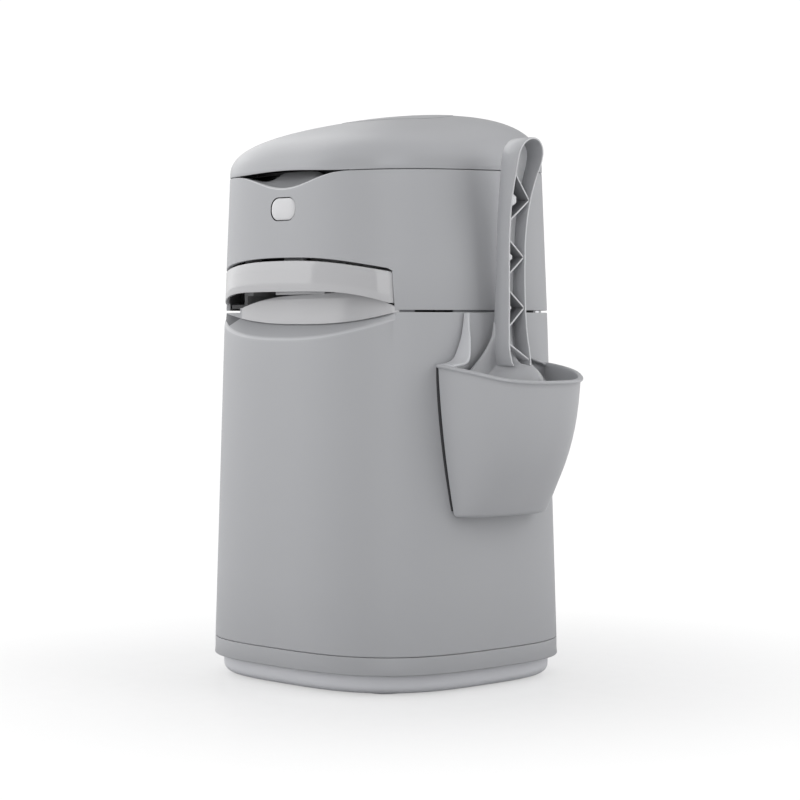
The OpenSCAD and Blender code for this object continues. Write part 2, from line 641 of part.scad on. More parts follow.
// slot that starts at height z and runs down by drop
module stud_slot(x, z, radius, depth, drop) {
  translate([x, hold_y, z]) rotate([0, 90, 0]) hull() {
    cylinder(r = radius, h = depth, $fn = 20);
    translate([drop, 0, 0]) cylinder(r = radius, h = depth, $fn = 20);
  }
}
module scoop_holder() color([0.7, 0.7, 0.71]) union() {
  difference() {
    union() {
      // outside, rolled rim, then down the inside to the floor
      stack(concat(
        [for (level = HOLD_LEVELS) hold_section(level, 0)],
        [hold_section(0.972, -1.8), hold_section(1, -1.8), hold_section(1, hold_wall)],
        [for (i = [len(HOLD_LEVELS)-1:-1:1]) hold_section(HOLD_LEVELS[i], hold_wall)],
        [hold_section(0.03, hold_wall)]));
      stack([for (z = [226, 232, 237, 242, 248, 255, 263, 272.6]) arm_section(z)]);
    }
    // keyhole for the stud: neck, head and entry
    back = half_w(stud_z);
    stud_slot(back - 2, stud_z, radius = 3.8, depth = 4.4, drop = 16);
    stud_slot(back + 1.4, stud_z, radius = 6.5, depth = 2.7, drop = 16);
    stud_slot(back - 2, stud_z - 16, radius = 6.6, depth = 6.1, drop = 2);
  }
  // drain ribs on the floor of the holder
  for (i = [-2:2]) hull() for (x = [121, 130])
    translate([x, hold_y + 14*i, 128]) cylinder(r = 1, h = 5.8, $fn = 8);
}

// ---------------------------------------------------------------- scoop
// handle: z, x of the face next to the body, x of the outer face, half width
HANDLE = [
  [238, 118.4, 136.6, 12.4], [246, 118.0, 135.0, 11.2], [256, 117.8, 133.8, 10.4],
  [266, 117.9, 133.2, 9.8], [280, 118.3, 132.8, 9.2], [300, 119.3, 132.5, 9.0],
  [320, 120.1, 132.7, 9.1], [340, 121.3, 134.2, 9.7], [356, 123.5, 137.0, 10.6],
  [370, 126.0, 141.0, 11.8], [382, 128.5, 145.2, 13.2]];
function handle_value(z, column) = lookup(z, [for (row = HANDLE) [row[0], row[column]]]);
function handle_back(z) = handle_value(z, 1);
function handle_front(z) = handle_value(z, 2);
function handle_half(z) = handle_value(z, 3);
// bowl: z, half width
BOWL_HALF = [[134, 36], [150, 40.5], [170, 44], [195, 46.5], [212, 46.5], [222, 43.5],
  [230, 37], [236, 30], [242, 22.5], [248, 16], [256, 11]];
// bowl: z, depth
BOWL_DEPTH = [[134, 9], [142, 16], [150, 22], [160, 28], [172, 34], [185, 38.5], [200, 40],
  [214, 37.5], [224, 31], [230, 24.5], [236, 17], [242, 10], [248, 5.4], [256, 2.6]];
CAVITY_Z = [132, 142, 150, 160, 172, 185, 200, 214, 224, 230, 236, 240];
bowl_back = 118.2;
bowl_power = 0.72;
function bowl_section(z, inset) =
  let(half = lookup(z, BOWL_HALF) - inset, depth = max(0.6, lookup(z, BOWL_DEPTH) - inset))
  [for (i = [0:24]) let(t = -90 + 180*i/24)
    [bowl_back + depth*pow(max(0, cos(t)), bowl_power),
     scoop_y + half*sign(sin(t))*pow(abs(sin(t)), bowl_power), z]];
module bowl() difference() {
  stack([for (row = BOWL_DEPTH) bowl_section(row[0], 0)]);
  // cavity, its back points moved out through the open back
  stack([for (z = CAVITY_Z) [for (p = bowl_section(max(134, z), 2))
    [p[0] - (abs(p[0] - bowl_back) < 0.7 ? 2 : 0), p[1], z]]]);
}
// rectangle from the handle's back face to x, between two offsets from the scoop's centre
function handle_rect(z, x, low, high) =
  [[handle_back(z), scoop_y + low, z], [x, scoop_y + low, z],
   [x, scoop_y + high, z], [handle_back(z), scoop_y + high, z]];
// rib between two ends, each given as z and share of the half width
module rib(start, end) {
  hull() for (p = [start, end])
    let(z = p[0])
      translate([handle_back(z) + 1, scoop_y + p[1]*(handle_half(z) - 1.2), z])
        rotate([0, 90, 0])
          cylinder(r = 0.65, h = handle_front(z) - handle_back(z) - 2.2, $fn = 8);
}
// rod along x on the arc of the handle's rounded end
handle_end_z = HANDLE[len(HANDLE)-1][0];
module end_rod(angle, width_share, rise, length) {
  translate([0, handle_half(handle_end_z)*cos(angle)*width_share, rise*sin(angle)])
    rotate([0, 90, 0])
      translate([0, 0, handle_back(handle_end_z) + 3.3*sin(angle)])
        cylinder(r = 1, h = length, $fn = 10);
}
module scoop() color([0.7, 0.7, 0.71]) union() {
  difference() {
    bowl();
    // sifting slots
    for (i = [-4:4]) hull() for (z = [146 + 2*abs(i), 212 - 3*abs(i)])
      translate([110, scoop_y + 8.6*i, z]) rotate([0, 90, 0])
        cylinder(r = 2.1, h = 70, $fn = 12);
  }
  // web and side walls of the handle
  stack([for (row = HANDLE) handle_rect(row[0], row[1] + 2, -row[3], row[3])]);
  stack([for (row = HANDLE) handle_rect(row[0], row[2], -row[3], 1.8 - row[3])]);
  stack([for (row = HANDLE) handle_rect(row[0], row[2], row[3] - 1.8, row[3])]);
  // rounded end of the handle: rim, then web
  translate([0, scoop_y, handle_end_z]) {
    for (a = [0:15:165]) hull() for (b = [a, a + 15])
      end_rod(b, 0.92, scoop_top - 382.6, 16.6);
    hull() for (b = [0:15:180]) end_rod(b, 0.9, scoop_top - 383, 1.8);
  }
  // truss ribs in the channel
  for (z = [[373.3, 354.3, 339], [326.2, 313, 300], [289.4, 276.3, 262]]) {
    rib([z[0], -1], [z[1], 1]);
    rib([z[1], 1], [z[2], -1]);
  }
  rib([250.8, -1], [242.5, 0.9]);
}

pail_shell();
base_ring();
base_pan();
foot_pads();
base_screws();
cassette_tray();
cassette_body();
cassette_cap();
film_pack();
film_bag();
cutter_housing();
cutter_blade();
head_hinge_brackets();
holder_stud();
head_shell();
hopper();
chassis();
grip_recess();
gate_rails();
gate_seal();
chassis_screws();
deck_screws();
latch_pivot_pins();
latch_spring();
head_hinge_arms();
head_hinge_pins();
lid_hinge_brackets();
lid_shell();
lid_inlay();
lid_liner();
lid_gasket();
liner_screws();
lid_hinge_arms();
lid_hinge_pins();
pull_handle();
gate_plate();
gate_screws();
release_button();
latch_yoke();
scoop_holder();
scoop();
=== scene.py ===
"""Lidded disposal pail with a film bag inside and a slotted scoop in a holder on its side.

The pail stands on z = 0, centred on the Z axis. Its front, with the push button and the pull
handle, faces -Y; the scoop and its holder hang on the +X side. Shapes are worked out in
millimetres and turned into metres when a mesh is built.
"""
import math
import bpy
import bmesh
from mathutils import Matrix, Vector


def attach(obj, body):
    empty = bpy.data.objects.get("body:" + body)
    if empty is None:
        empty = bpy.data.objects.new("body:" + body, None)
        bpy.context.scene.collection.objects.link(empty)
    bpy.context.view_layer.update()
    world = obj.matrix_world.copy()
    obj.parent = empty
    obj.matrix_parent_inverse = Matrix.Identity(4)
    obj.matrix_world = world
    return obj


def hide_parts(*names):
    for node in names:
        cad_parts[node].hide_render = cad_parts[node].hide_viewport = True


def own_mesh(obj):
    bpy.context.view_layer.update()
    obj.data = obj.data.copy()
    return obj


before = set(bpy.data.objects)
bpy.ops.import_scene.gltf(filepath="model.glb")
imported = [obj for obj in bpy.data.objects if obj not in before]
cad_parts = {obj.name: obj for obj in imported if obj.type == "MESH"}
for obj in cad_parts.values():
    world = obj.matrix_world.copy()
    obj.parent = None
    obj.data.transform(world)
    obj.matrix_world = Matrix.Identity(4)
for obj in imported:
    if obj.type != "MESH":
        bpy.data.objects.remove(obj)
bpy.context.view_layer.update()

SCENE = bpy.context.scene

# ------------------------------------------------------------------ body form, millimetres
BODY_WIDTH = 234.0      # across X at TAPER_START
DEPTH_RATIO = 0.973     # depth over width
SQUARENESS = 3.12       # superellipse exponent of the plan
TAPER_START = 2
PAIL_TAPER = 0.026      # half width lost per unit of height, below the seam
HEAD_TAPER = 0.0348     # the same, above it
SEAM = 274.0            # between pail and head
PAIL_TOP = SEAM - 0.9
HEAD_BOTTOM = PAIL_TOP + 1.6
WALL = 2.6
LID_Z = 375.0           # lid seam at the front
LID_SLOPE = 0.0225      # rise of the lid seam towards the back
LID_GAP = 0.45          # lid edge above the seam
NOTCH_HALF = 63.0       # finger notch at the front of the lid seam
NOTCH_DEPTH = 10.0
COLUMN_Z = 285          # height at which the columns' front x is taken
HANDLE_EDGE = 90        # x where the handle's top and bottom curves end
RECESS_EDGE = 92.75     # x where the recess in the pail's front ends
CYLINDER_COUNT = 240    # columns round the body


def half_width(z):
    if z <= SEAM:
        return BODY_WIDTH / 2 - PAIL_TAPER * (z - TAPER_START)
    return BODY_WIDTH / 2 - PAIL_TAPER * (SEAM - TAPER_START) - HEAD_TAPER * (z - SEAM)


def half_depth(z):
    return DEPTH_RATIO * half_width(z)


def outline(z, inset, angle):
    """Point (x, y) of the body's plan at a polar angle."""
    a, b = half_width(z) - inset, half_depth(z) - inset
    c, s = math.cos(angle), math.sin(angle)
    radius = ((abs(c) / a) ** SQUARENESS + (abs(s) / b) ** SQUARENESS) ** (-1 / SQUARENESS)
    return radius * c, radius * s


def front_y(z, inset, x):
    """The body's front face (-Y) at x."""
    a, b = half_width(z) - inset, half_depth(z) - inset
    share = min(1.0, abs(x) / a)
    return -b * max(0.0, 1 - share ** SQUARENESS) ** (1 / SQUARENESS)


def side_x(z, inset, y):
    """The body's +X face at y."""
    a, b = half_width(z) - inset, half_depth(z) - inset
    share = min(1.0, abs(y) / b)
    return a * max(0.0, 1 - share ** SQUARENESS) ** (1 / SQUARENESS)


def recess_y(x):
    """Face of the wall at the back of the recess."""
    return -(half_depth(SEAM) - 18.5) + 6.5 * (abs(x) / 92) ** 2


def bowed(x, middle, rise, half, power):
    """Height across the front: middle at x = 0, changed by rise at x = half."""
    return middle + rise * min(1, abs(x) / half) ** power


def handle_top(x):
    return bowed(x, middle=310.8, rise=-8.8, half=HANDLE_EDGE, power=2.5)


def handle_bottom(x):
    return bowed(x, middle=288.2, rise=-9.2, half=HANDLE_EDGE, power=4.5)


def lip_z(x):
    """Outer edge of the recess floor."""
    return bowed(x, middle=253.8, rise=13.7, half=93, power=2.4)


def ledge_z(x):
    """Inner edge of the recess floor."""
    return bowed(x, middle=264.2, rise=8.4, half=93, power=2.5)


def lid_seam_z(y):
    return LID_Z + LID_SLOPE * (y + half_depth(LID_Z))


def notch_curve(x, y, depth, power):
    if y < 0 and abs(x) < NOTCH_HALF:
        return depth * math.cos(math.pi / 2 * x / NOTCH_HALF) ** power
    return 0.0


def notch(x, y):
    """How far the head's top edge drops below the lid seam."""
    return notch_curve(x, y, depth=NOTCH_DEPTH, power=2.2)


def lid_arch(x, y):
    """How far the lid's edge lifts over the notch."""
    return notch_curve(x, y, depth=1.8, power=2)


def dome_z(x, y, inset=0.0):
    a, b = half_width(LID_Z) - inset, half_depth(LID_Z) - inset
    radius = ((abs(x) / a) ** SQUARENESS + (abs(y) / b) ** SQUARENESS) ** (1 / SQUARENESS)
    height = 44.1 - inset + 11.55 * (y / b) + 5.4 * (y / b) ** 2
    swell = max(0.0, 1 - min(1.0, radius) ** 1.924) ** (1 / 2.587)
    return lid_seam_z(y) + LID_GAP + height * swell


# ------------------------------------------------------------------ curves and stations
def smooth_curve(xs, ys):
    """Monotone cubic through the stations, carried on straight past both ends."""
    count = len(xs)
    gaps = [xs[i + 1] - xs[i] for i in range(count - 1)]
    rises = [(ys[i + 1] - ys[i]) / gaps[i] for i in range(count - 1)]
    slopes = [rises[0]] + [0.0] * (count - 2) + [rises[-1]]
    for i in range(1, count - 1):
        if rises[i - 1] * rises[i] > 0:
            w1, w2 = 2 * gaps[i] + gaps[i - 1], gaps[i] + 2 * gaps[i - 1]
            slopes[i] = (w1 + w2) / (w1 / rises[i - 1] + w2 / rises[i])

    def curve(x):
        if x <= xs[0]:
            return ys[0] + slopes[0] * (x - xs[0])
        if x >= xs[-1]:
            return ys[-1] + slopes[-1] * (x - xs[-1])
        i = max(k for k in range(count - 1) if xs[k] <= x)
        t = (x - xs[i]) / gaps[i]
        return ((2 * t ** 3 - 3 * t ** 2 + 1) * ys[i]
                + (t ** 3 - 2 * t ** 2 + t) * gaps[i] * slopes[i]
                + (-2 * t ** 3 + 3 * t ** 2) * ys[i + 1]
                + (t ** 3 - t ** 2) * gaps[i] * slopes[i + 1])
    return curve


def smoothstep(t):
    t = max(0.0, min(1.0, t))
    return t * t * (3 - 2 * t)


def steps(start, end, count):
    """count + 1 even values from start to end."""
    return [start + (end - start) * i / count for i in range(count + 1)]


def full_turn(count):
    return [2 * math.pi * i / count for i in range(count)]


def mirrored(*values):
    return [side * v for side in (-1, 1) for v in values]


def bezier(p0, p1, p2, count):
    """Quadratic curve with count + 1 points."""
    return [tuple((1 - t) ** 2 * a + 2 * t * (1 - t) * b + t * t * c
                  for a, b, c in zip(p0, p1, p2))
            for t in steps(0, 1, count)]


def body_columns(extra_x=(), count=CYLINDER_COUNT):
    """Columns round the body as (polar angle, x on the front or None), with extra front ones."""
    extra = [math.atan2(front_y(COLUMN_Z, 0, x), x) % (2 * math.pi) for x in extra_x]
    even = [t for t in full_turn(count) if all(abs(t - u) > 0.006 for u in extra)]
    columns = []
    for angle in sorted(even + extra):
        x, y = outline(COLUMN_Z, 0, angle)
        columns.append((angle, x if y < 0 else None))
    return columns


# ------------------------------------------------------------------ mesh helpers
def set_sharp(mesh, degrees):
    mesh.set_sharp_from_angle(angle=math.radians(degrees))


def add_object(name, mesh):
    obj = bpy.data.objects.new(name, mesh)
    SCENE.collection.objects.link(obj)
    return obj


def build(name, verts, faces, materials, slots=None, sharp=38):
    """Object from millimetre vertices; slots gives each face's material slot."""
    mesh = bpy.data.meshes.new(name)
    mesh.from_pydata([(v[0] * 0.001, v[1] * 0.001, v[2] * 0.001) for v in verts], [], faces)
    for material in materials:
        mesh.materials.append(material)
    if slots:
        mesh.polygons.foreach_set("material_index", slots)
    bm = bmesh.new()
    bm.from_mesh(mesh)
    bmesh.ops.remove_doubles(bm, verts=bm.verts, dist=2e-6)
    bmesh.ops.dissolve_degenerate(bm, dist=1e-6, edges=bm.edges)
    bmesh.ops.recalc_face_normals(bm, faces=bm.faces)
    bm.to_mesh(mesh)
    bm.free()
    mesh.polygons.foreach_set("use_smooth", [True] * len(mesh.polygons))
    set_sharp(mesh, sharp)
    return add_object(name, mesh)


def ring(name, profiles, materials, pick=None):
    """Closed profiles swept round a closed path; pick(i, j) gives a face's material."""
    count, size = len(profiles), len(profiles[0])
    verts = [point for profile in profiles for point in profile]
    faces, slots = [], []
    for i in range(count):
        k = (i + 1) % count
        for j in range(size):
            l = (j + 1) % size
            faces.append((i * size + j, i * size + l, k * size + l, k * size + j))
            slots.append(materials.index(pick(i, j)) if pick else 0)
    return build(name, verts, faces, materials, slots)


def stack(name, sections, materials, sharp=38):
    """Closed sections lofted one to the next, capped at both ends."""
    count, size = len(sections), len(sections[0])
    verts = [point for section in sections for point in section]
    faces = []
    for k in range(count - 1):
        for i in range(size):
            j = (i + 1) % size
            faces.append((k * size + i, k * size + j, (k + 1) * size + j, (k + 1) * size + i))
    for base, section in ((0, sections[0]), ((count - 1) * size, sections[-1])):
        verts.append(tuple(sum(p[axis] for p in section) / size for axis in range(3)))
        for i in range(size):
            faces.append((base + i, base + (i + 1) % size, len(verts) - 1))
    return build(name, verts, faces, materials, None, sharp)


def paint(obj, rule):
    """Sets each face's material slot to rule(centre in millimetres, normal)."""
    for face in obj.data.polygons:
        face.material_index = rule(face.center * 1000, face.normal)


def bake(obj):
    """Applies the object's modifiers to its mesh."""
    graph = bpy.context.evaluated_depsgraph_get()
    mesh = bpy.data.meshes.new_from_object(obj.evaluated_get(graph))
    old = obj.data
    obj.modifiers.clear()
    obj.data = mesh
    bpy.data.meshes.remove(old)
    return obj


def add_bevel(obj, width):
    """Rounds the edges; width is in metres."""
    bevel = obj.modifiers.new("edge", "BEVEL")
    bevel.width = width
    bevel.segments = 2
    return bevel


def slab(x_range, y_range, z_range, material, bevel=0.0004):
    """Box with rounded edges."""
    (x0, x1), (y0, y1) = x_range, y_range
    obj = stack("slab", [[(x0, y0, z), (x1, y0, z), (x1, y1, z), (x0, y1, z)] for z in z_range],
                [material])
    add_bevel(obj, bevel)
    return bake(obj)


def join(name, parts, sharp=38):
    """One object from several, materials kept."""
    bm = bmesh.new()
    materials = []
    for part in parts:
        for material in part.data.materials:
            if material not in materials:
                materials.append(material)
    for part in parts:
        start = len(bm.faces)
        bm.from_mesh(part.data)
        bm.faces.ensure_lookup_table()
        for face in bm.faces[start:]:
            face.material_index = materials.index(part.data.materials[face.material_index])
    mesh = bpy.data.meshes.new(name)
    bm.to_mesh(mesh)
    bm.free()
    for material in materials:
        mesh.materials.append(material)
    for part in parts:
        old = part.data
        bpy.data.objects.remove(part)
        bpy.data.meshes.remove(old)
    set_sharp(mesh, sharp)
    return add_object(name, mesh)


def register(obj, group, replaces=None):
    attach(obj, group)
    if replaces:
        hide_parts(replaces)


# ------------------------------------------------------------------ node helpers
def add_node(tree, kind, inputs=None, **settings):
    """Adds a node; each input is given a value or linked from an output socket."""
    node = tree.nodes.new(kind)
    for key, value in settings.items():
        setattr(node, key, value)
    for key, value in (inputs or {}).items():
        if isinstance(value, bpy.types.NodeSocket):
            tree.links.new(value, node.inputs[key])
        else:
            node.inputs[key].default_value = value
    return node


def map_range(tree, value, to_min=0.0, to_max=1.0, from_min=0.0, from_max=1.0, **settings):
    return add_node(tree, "ShaderNodeMapRange",
                    {"Value": value, "From Min": from_min, "From Max": from_max,
                     "To Min": to_min, "To Max": to_max}, **settings).outputs[0]


def mix_colors(tree, factor, first, second):
    # the colour sockets of a Mix node are inputs 6 and 7 and output 2
    return add_node(tree, "ShaderNodeMix", {0: factor, 6: first, 7: second},
                    data_type="RGBA").outputs[2]


# ------------------------------------------------------------------ materials
def linear(srgb):
    return tuple((v / 255) / 12.92 if v / 255 <= 0.04045 else ((v / 255 + 0.055) / 1.055) ** 2.4
                 for v in srgb)


def plastic(name, srgb, roughness, grain=0.05, grain_scale=1500, coat=0.0, coat_roughness=0.1,
            specular=0.5, drift=0.012, edge=0.06, metal=0.0, alpha=1.0, rough_drift=0.035,
            rough_grain=0.05):
    """Grained surface; drift is the slow colour change, edge the lightening of edges, part edge
    wear and part painted sheen.
    """
    base = linear(srgb)
    material = bpy.data.materials.new(name)
    material.use_nodes = True
    tree = material.node_tree
    tree.nodes.clear()
    place = add_node(tree, "ShaderNodeTexCoord").outputs["Object"]
    fine = add_node(tree, "ShaderNodeTexNoise",
                    {"Vector": place, "Scale": grain_scale, "Detail": 4,
                     "Roughness": 0.6}).outputs["Fac"]
    wide = add_node(tree, "ShaderNodeTexNoise",
                    {"Vector": place, "Scale": 22, "Detail": 5}).outputs["Fac"]
    color = mix_colors(tree, wide, (*[v * (1 - drift) for v in base], 1),
                       (*[min(1, v * (1 + drift)) for v in base], 1))
    # convex edges lightened: part edge wear, part painted sheen
    pointiness = add_node(tree, "ShaderNodeNewGeometry").outputs["Pointiness"]
    edges = map_range(tree, pointiness, from_min=0.52, from_max=0.62, to_min=0.0, to_max=edge)
    color = mix_colors(tree, edges, color, (*[min(1, v * 1.5 + 0.05) for v in base], 1))
    # roughness follows both grains
    slow = map_range(tree, wide, to_min=roughness - rough_drift, to_max=roughness + rough_drift)
    rough = add_node(tree, "ShaderNodeMath", {0: fine, 1: rough_grain, 2: slow},
                     operation="MULTIPLY_ADD").outputs[0]
    bump = add_node(tree, "ShaderNodeBump",
                    {"Height": fine, "Strength": grain, "Distance": 0.0003}).outputs[0]
    surface = add_node(tree, "ShaderNodeBsdfPrincipled", {
        "Base Color": color, "Roughness": rough, "Normal": bump, "Specular IOR Level": specular,
        "Metallic": metal, "Coat Weight": coat, "Coat Roughness": coat_roughness, "Alpha": alpha})
    add_node(tree, "ShaderNodeOutputMaterial", {0: surface.outputs[0]})
    return material


BODY = plastic("body_grey", (171, 172, 175), roughness=0.46)
BASE = plastic("base_grey", (164, 165, 168), roughness=0.46)
# painted highlight on the pail's rolled edges
LIP_PAINTED_HIGHLIGHT = plastic("lip_painted_highlight_grey", (183, 184, 187), roughness=0.42, edge=0.0)
# brighter painted highlight, on the lip of the lid notch
BRIGHT_LIP_PAINTED_HIGHLIGHT = plastic("bright_lip_painted_highlight_grey", (198, 199, 201), roughness=0.38, edge=0.0)
# painted shade, for the seam strips and the -X end of the recess ledge
PAINTED_SHADE = plastic("painted_shade_grey", (112, 113, 116), roughness=0.6, specular=0.25, drift=0.02,
                edge=0.0)
# lighter copy of the scoop grey: painted light on the channel's web
SCOOP_WEB_PAINTED_LIGHT = plastic("scoop_web_painted_light_grey", (224, 225, 227), roughness=0.4, grain=0.03)
# painted shade in the bowl of the lid notch
NOTCH_PAINTED_SHADE = plastic("notch_painted_shade_grey", (150, 151, 154), roughness=0.55, specular=0.3, drift=0.02,
                edge=0.0)
# lighter copy of the body grey: painted light on the recess ledge, which lies in the head's shade
LEDGE_PAINTED_LIGHT = plastic("ledge_painted_light_grey", (178, 179, 182), roughness=0.6, specular=0.25, drift=0.02,
                edge=0.0)
LID = plastic("lid_grey", (168, 169, 172), roughness=0.30)
TRIM = plastic("trim_grey", (184, 184, 186), roughness=0.03, grain=0.01, drift=0.01,
               rough_drift=0.008, rough_grain=0.012)
PAN = plastic("pan_grey", (208, 209, 213), roughness=0.40)
PAD = plastic("pad_grey", (232, 232, 236), roughness=0.7, grain=0.16, grain_scale=900,
              drift=0.03)
HOLDER = plastic("holder_grey", (174, 175, 178), roughness=0.33)
# lighter copy of the holder grey: painted light on the front flange's lit face
HOLDER_FLANGE_PAINTED_LIGHT = plastic("holder_flange_painted_light_grey", (196, 197, 200), roughness=0.33)
SCOOP = plastic("scoop_grey", (174, 175, 178), roughness=0.34, grain=0.03, coat=0.15,
                coat_roughness=0.15)
# painted highlight on the scoop's front edges and nubs
SCOOP_EDGE_PAINTED_HIGHLIGHT = plastic("scoop_edge_painted_highlight_grey", (208, 209, 211), roughness=0.34, grain=0.03, coat=0.15,
                     coat_roughness=0.15)
# painted shade on the channel wall's inner faces
SCOOP_SIDE_PAINTED_SHADE = plastic("scoop_side_painted_shade_grey", (162, 163, 166), roughness=0.4, grain=0.03, edge=0.0)
# painted shade in the scoop's rib cells and on the ribs' shaded faces
SCOOP_PAINTED_SHADE = plastic("scoop_painted_shade_grey", (120, 121, 124), roughness=0.5, grain=0.04,
                       specular=0.3, drift=0.02, edge=0.0)
BUTTON = plastic("button_grey", (206, 206, 208), roughness=0.30, grain=0.02, coat=0.3,
                 drift=0.01)
INNER = plastic("inner_grey", (206, 206, 208), roughness=0.5, grain=0.09, grain_scale=1100,
                drift=0.02)
# real dark plastic for the CAD parts, also the painted shadow along the pocket's front edge
DARK_PLASTIC_AND_PAINTED_SHADOW = plastic("dark_plastic", (52, 52, 55), roughness=0.55, grain=0.1, grain_scale=1100,
               drift=0.06)
# painted shadow, for the notch trough, the button opening and the lid's underside over the notch
PAINTED_SHADOW = plastic("shadow_dark", (16, 16, 17), roughness=0.85, grain=0.1, specular=0.05,
              drift=0.05, edge=0.0)
SEAL = plastic("seal_black", (26, 26, 28), roughness=0.72, grain=0.15, grain_scale=700,
               drift=0.08)
STEEL = plastic("screw_steel", (196, 197, 201), roughness=0.28, grain=0.04, grain_scale=2600,
                metal=1.0, drift=0.05)
PIN = plastic("pin_steel", (208, 209, 212), roughness=0.2, grain_scale=3200, metal=1.0,
              drift=0.05)
BLADE = plastic("blade_steel", (214, 216, 220), roughness=0.16, grain_scale=3600, metal=1.0,
                drift=0.03)
CASSETTE = plastic("cassette_white", (236, 236, 230), roughness=0.28, grain=0.03, coat=0.25,
                   drift=0.015)
CAP = plastic("cassette_cap", (84, 150, 172), roughness=0.3, grain=0.04, coat=0.2, drift=0.03)
PACK = plastic("film_pack", (226, 231, 236), roughness=0.38, grain=0.3, grain_scale=420,
               drift=0.05)
FILM = plastic("film", (232, 236, 242), roughness=0.22, grain=0.25, grain_scale=240, coat=0.3,
               alpha=0.72, drift=0.04)

# ------------------------------------------------------------------ CAD pieces kept as they are
CAD_MATERIALS = (
    (STEEL, ("base_screws", "chassis_screws", "deck_screws", "liner_screws", "gate_screws")),
    (INNER, ("cassette_tray", "hopper", "gate_rails", "gate_plate")),
    (CASSETTE, ("cassette_body",)),
    (CAP, ("cassette_cap",)),
    (PACK, ("film_pack",)),
    (DARK_PLASTIC_AND_PAINTED_SHADOW, ("cutter_housing", "chassis", "lid_liner", "latch_yoke")),
    (BLADE, ("cutter_blade",)),
    (BODY, ("head_hinge_brackets", "holder_stud", "head_hinge_arms", "lid_hinge_brackets")),
    (SEAL, ("gate_seal", "lid_gasket")),
    (PIN, ("latch_pivot_pins", "head_hinge_pins", "lid_hinge_pins")),
    (LID, ("lid_hinge_arms",)),
    (PAD, ("foot_pads",)),
)
BEVELLED = ("head_hinge_brackets", "head_hinge_arms", "lid_hinge_brackets", "lid_hinge_arms",
            "foot_pads", "cassette_tray", "cutter_housing", "latch_yoke", "gate_plate")


def smooth_by_angle():
    """Node group that merges split corners and shades smooth below an angle."""
    group = bpy.data.node_groups.new("smooth_by_angle", "GeometryNodeTree")
    for way in ("INPUT", "OUTPUT"):
        group.interface.new_socket("Geometry", in_out=way, socket_type="NodeSocketGeometry")
    source = add_node(group, "NodeGroupInput")
    merged = add_node(group, "GeometryNodeMergeByDistance",
                      {0: source.outputs[0], "Distance": 2e-6})
    faces = add_node(group, "GeometryNodeSetShadeSmooth", {0: merged.outputs[0]}, domain="FACE")
    angle = add_node(group, "GeometryNodeInputMeshEdgeAngle")
    shallow = add_node(group, "FunctionNodeCompare",
                       {0: angle.outputs[0], 1: math.radians(32)},
                       data_type="FLOAT", operation="LESS_THAN")
    edges = add_node(group, "GeometryNodeSetShadeSmooth",
                     {0: faces.outputs[0], "Shade Smooth": shallow.outputs[0]}, domain="EDGE")
    add_node(group, "NodeGroupOutput", {0: edges.outputs[0]})
    return group


def dress_cad_pieces():
    group = smooth_by_angle()
    for material, names in CAD_MATERIALS:
        for name in names:
            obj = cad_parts[name]
            obj.data.materials.clear()
            obj.data.materials.append(material)
            obj.modifiers.new("smooth", "NODES").node_group = group
            if name in BEVELLED:
                bevel = add_bevel(obj, 0.0005)
                bevel.limit_method = "ANGLE"
                bevel.angle_limit = math.radians(40)


# ------------------------------------------------------------------ pail
# (z, inset) up the foot and the outer wall
PAIL_FOOT = [(24, 5), (24, 3.3), (28.1, 3.3), (28.1, 0.7), (28.2, 0.35), (28.5, 0.08),
             (29.0, 0), (80, 0), (160, 0)]
# (z, inset) over the rim and down inside it, away from the recess
PAIL_RIM = [(PAIL_TOP, 0.8), (PAIL_TOP, 1.0), (PAIL_TOP, 1.2), (PAIL_TOP, 1.4), (PAIL_TOP, 1.6),
            (PAIL_TOP, 2.2), (PAIL_TOP - 0.4, WALL), (268, WALL), (262, WALL)]
# (z, inset) down to the inside of the floor
PAIL_INSIDE = [(160, WALL), (34, WALL), (31, 5)]
# faces counted along the profile
PAIL_ROLL_FACES = range(12, 16)
PAIL_LEDGE_FACES = range(16, 19)


def pail_profile(angle, front_x):
    """Closed section of the wall at one angle, cut down to a ledge at the recess."""
    def at(z, inset):
        return (*outline(z, inset, angle), z)

    points = [at(z, inset) for z, inset in PAIL_FOOT]
    if front_x is not None and abs(front_x) <= RECESS_EDGE:
        x, outer = outline(260, 0, angle)
        lip, ledge = lip_z(x), ledge_z(x)
        depth = max(0.6, recess_y(x) + 2.3 - outer)
        back = outer + depth
        roll = min(3.1, 0.3 * depth)
        slope = math.atan2(ledge - lip, depth)
        points.append(at(lip - 22, 0))
        for inward, z in bezier((0, lip - roll), (0, lip),
                                (roll * math.cos(slope), lip + roll * math.sin(slope)), 6):
            edge = outline(z, 0, angle)
            points.append((edge[0] if inward == 0 else x, edge[1] + inward, z))
        for share in (0.35, 0.7):
            run = roll + (depth - roll) * share
            points.append((x, outer + run, lip + (ledge - lip) * run / depth))
        for inward, z in ((0, ledge), (0, PAIL_TOP - 0.4), (0.4, PAIL_TOP), (1.8, PAIL_TOP),
                          (2.2, PAIL_TOP - 0.4), (2.2, ledge - 3)):
            points.append((x, back + inward, z))
        points.append(at(lip - 7, WALL))
    else:
        points.append(at(250, 0))
        for inset, z in bezier((0, PAIL_TOP - 0.6), (0, PAIL_TOP), (0.6, PAIL_TOP), 6):
            points.append(at(z, inset))
        points += [at(z, inset) for z, inset in PAIL_RIM]
    return points + [at(z, inset) for z, inset in PAIL_INSIDE]


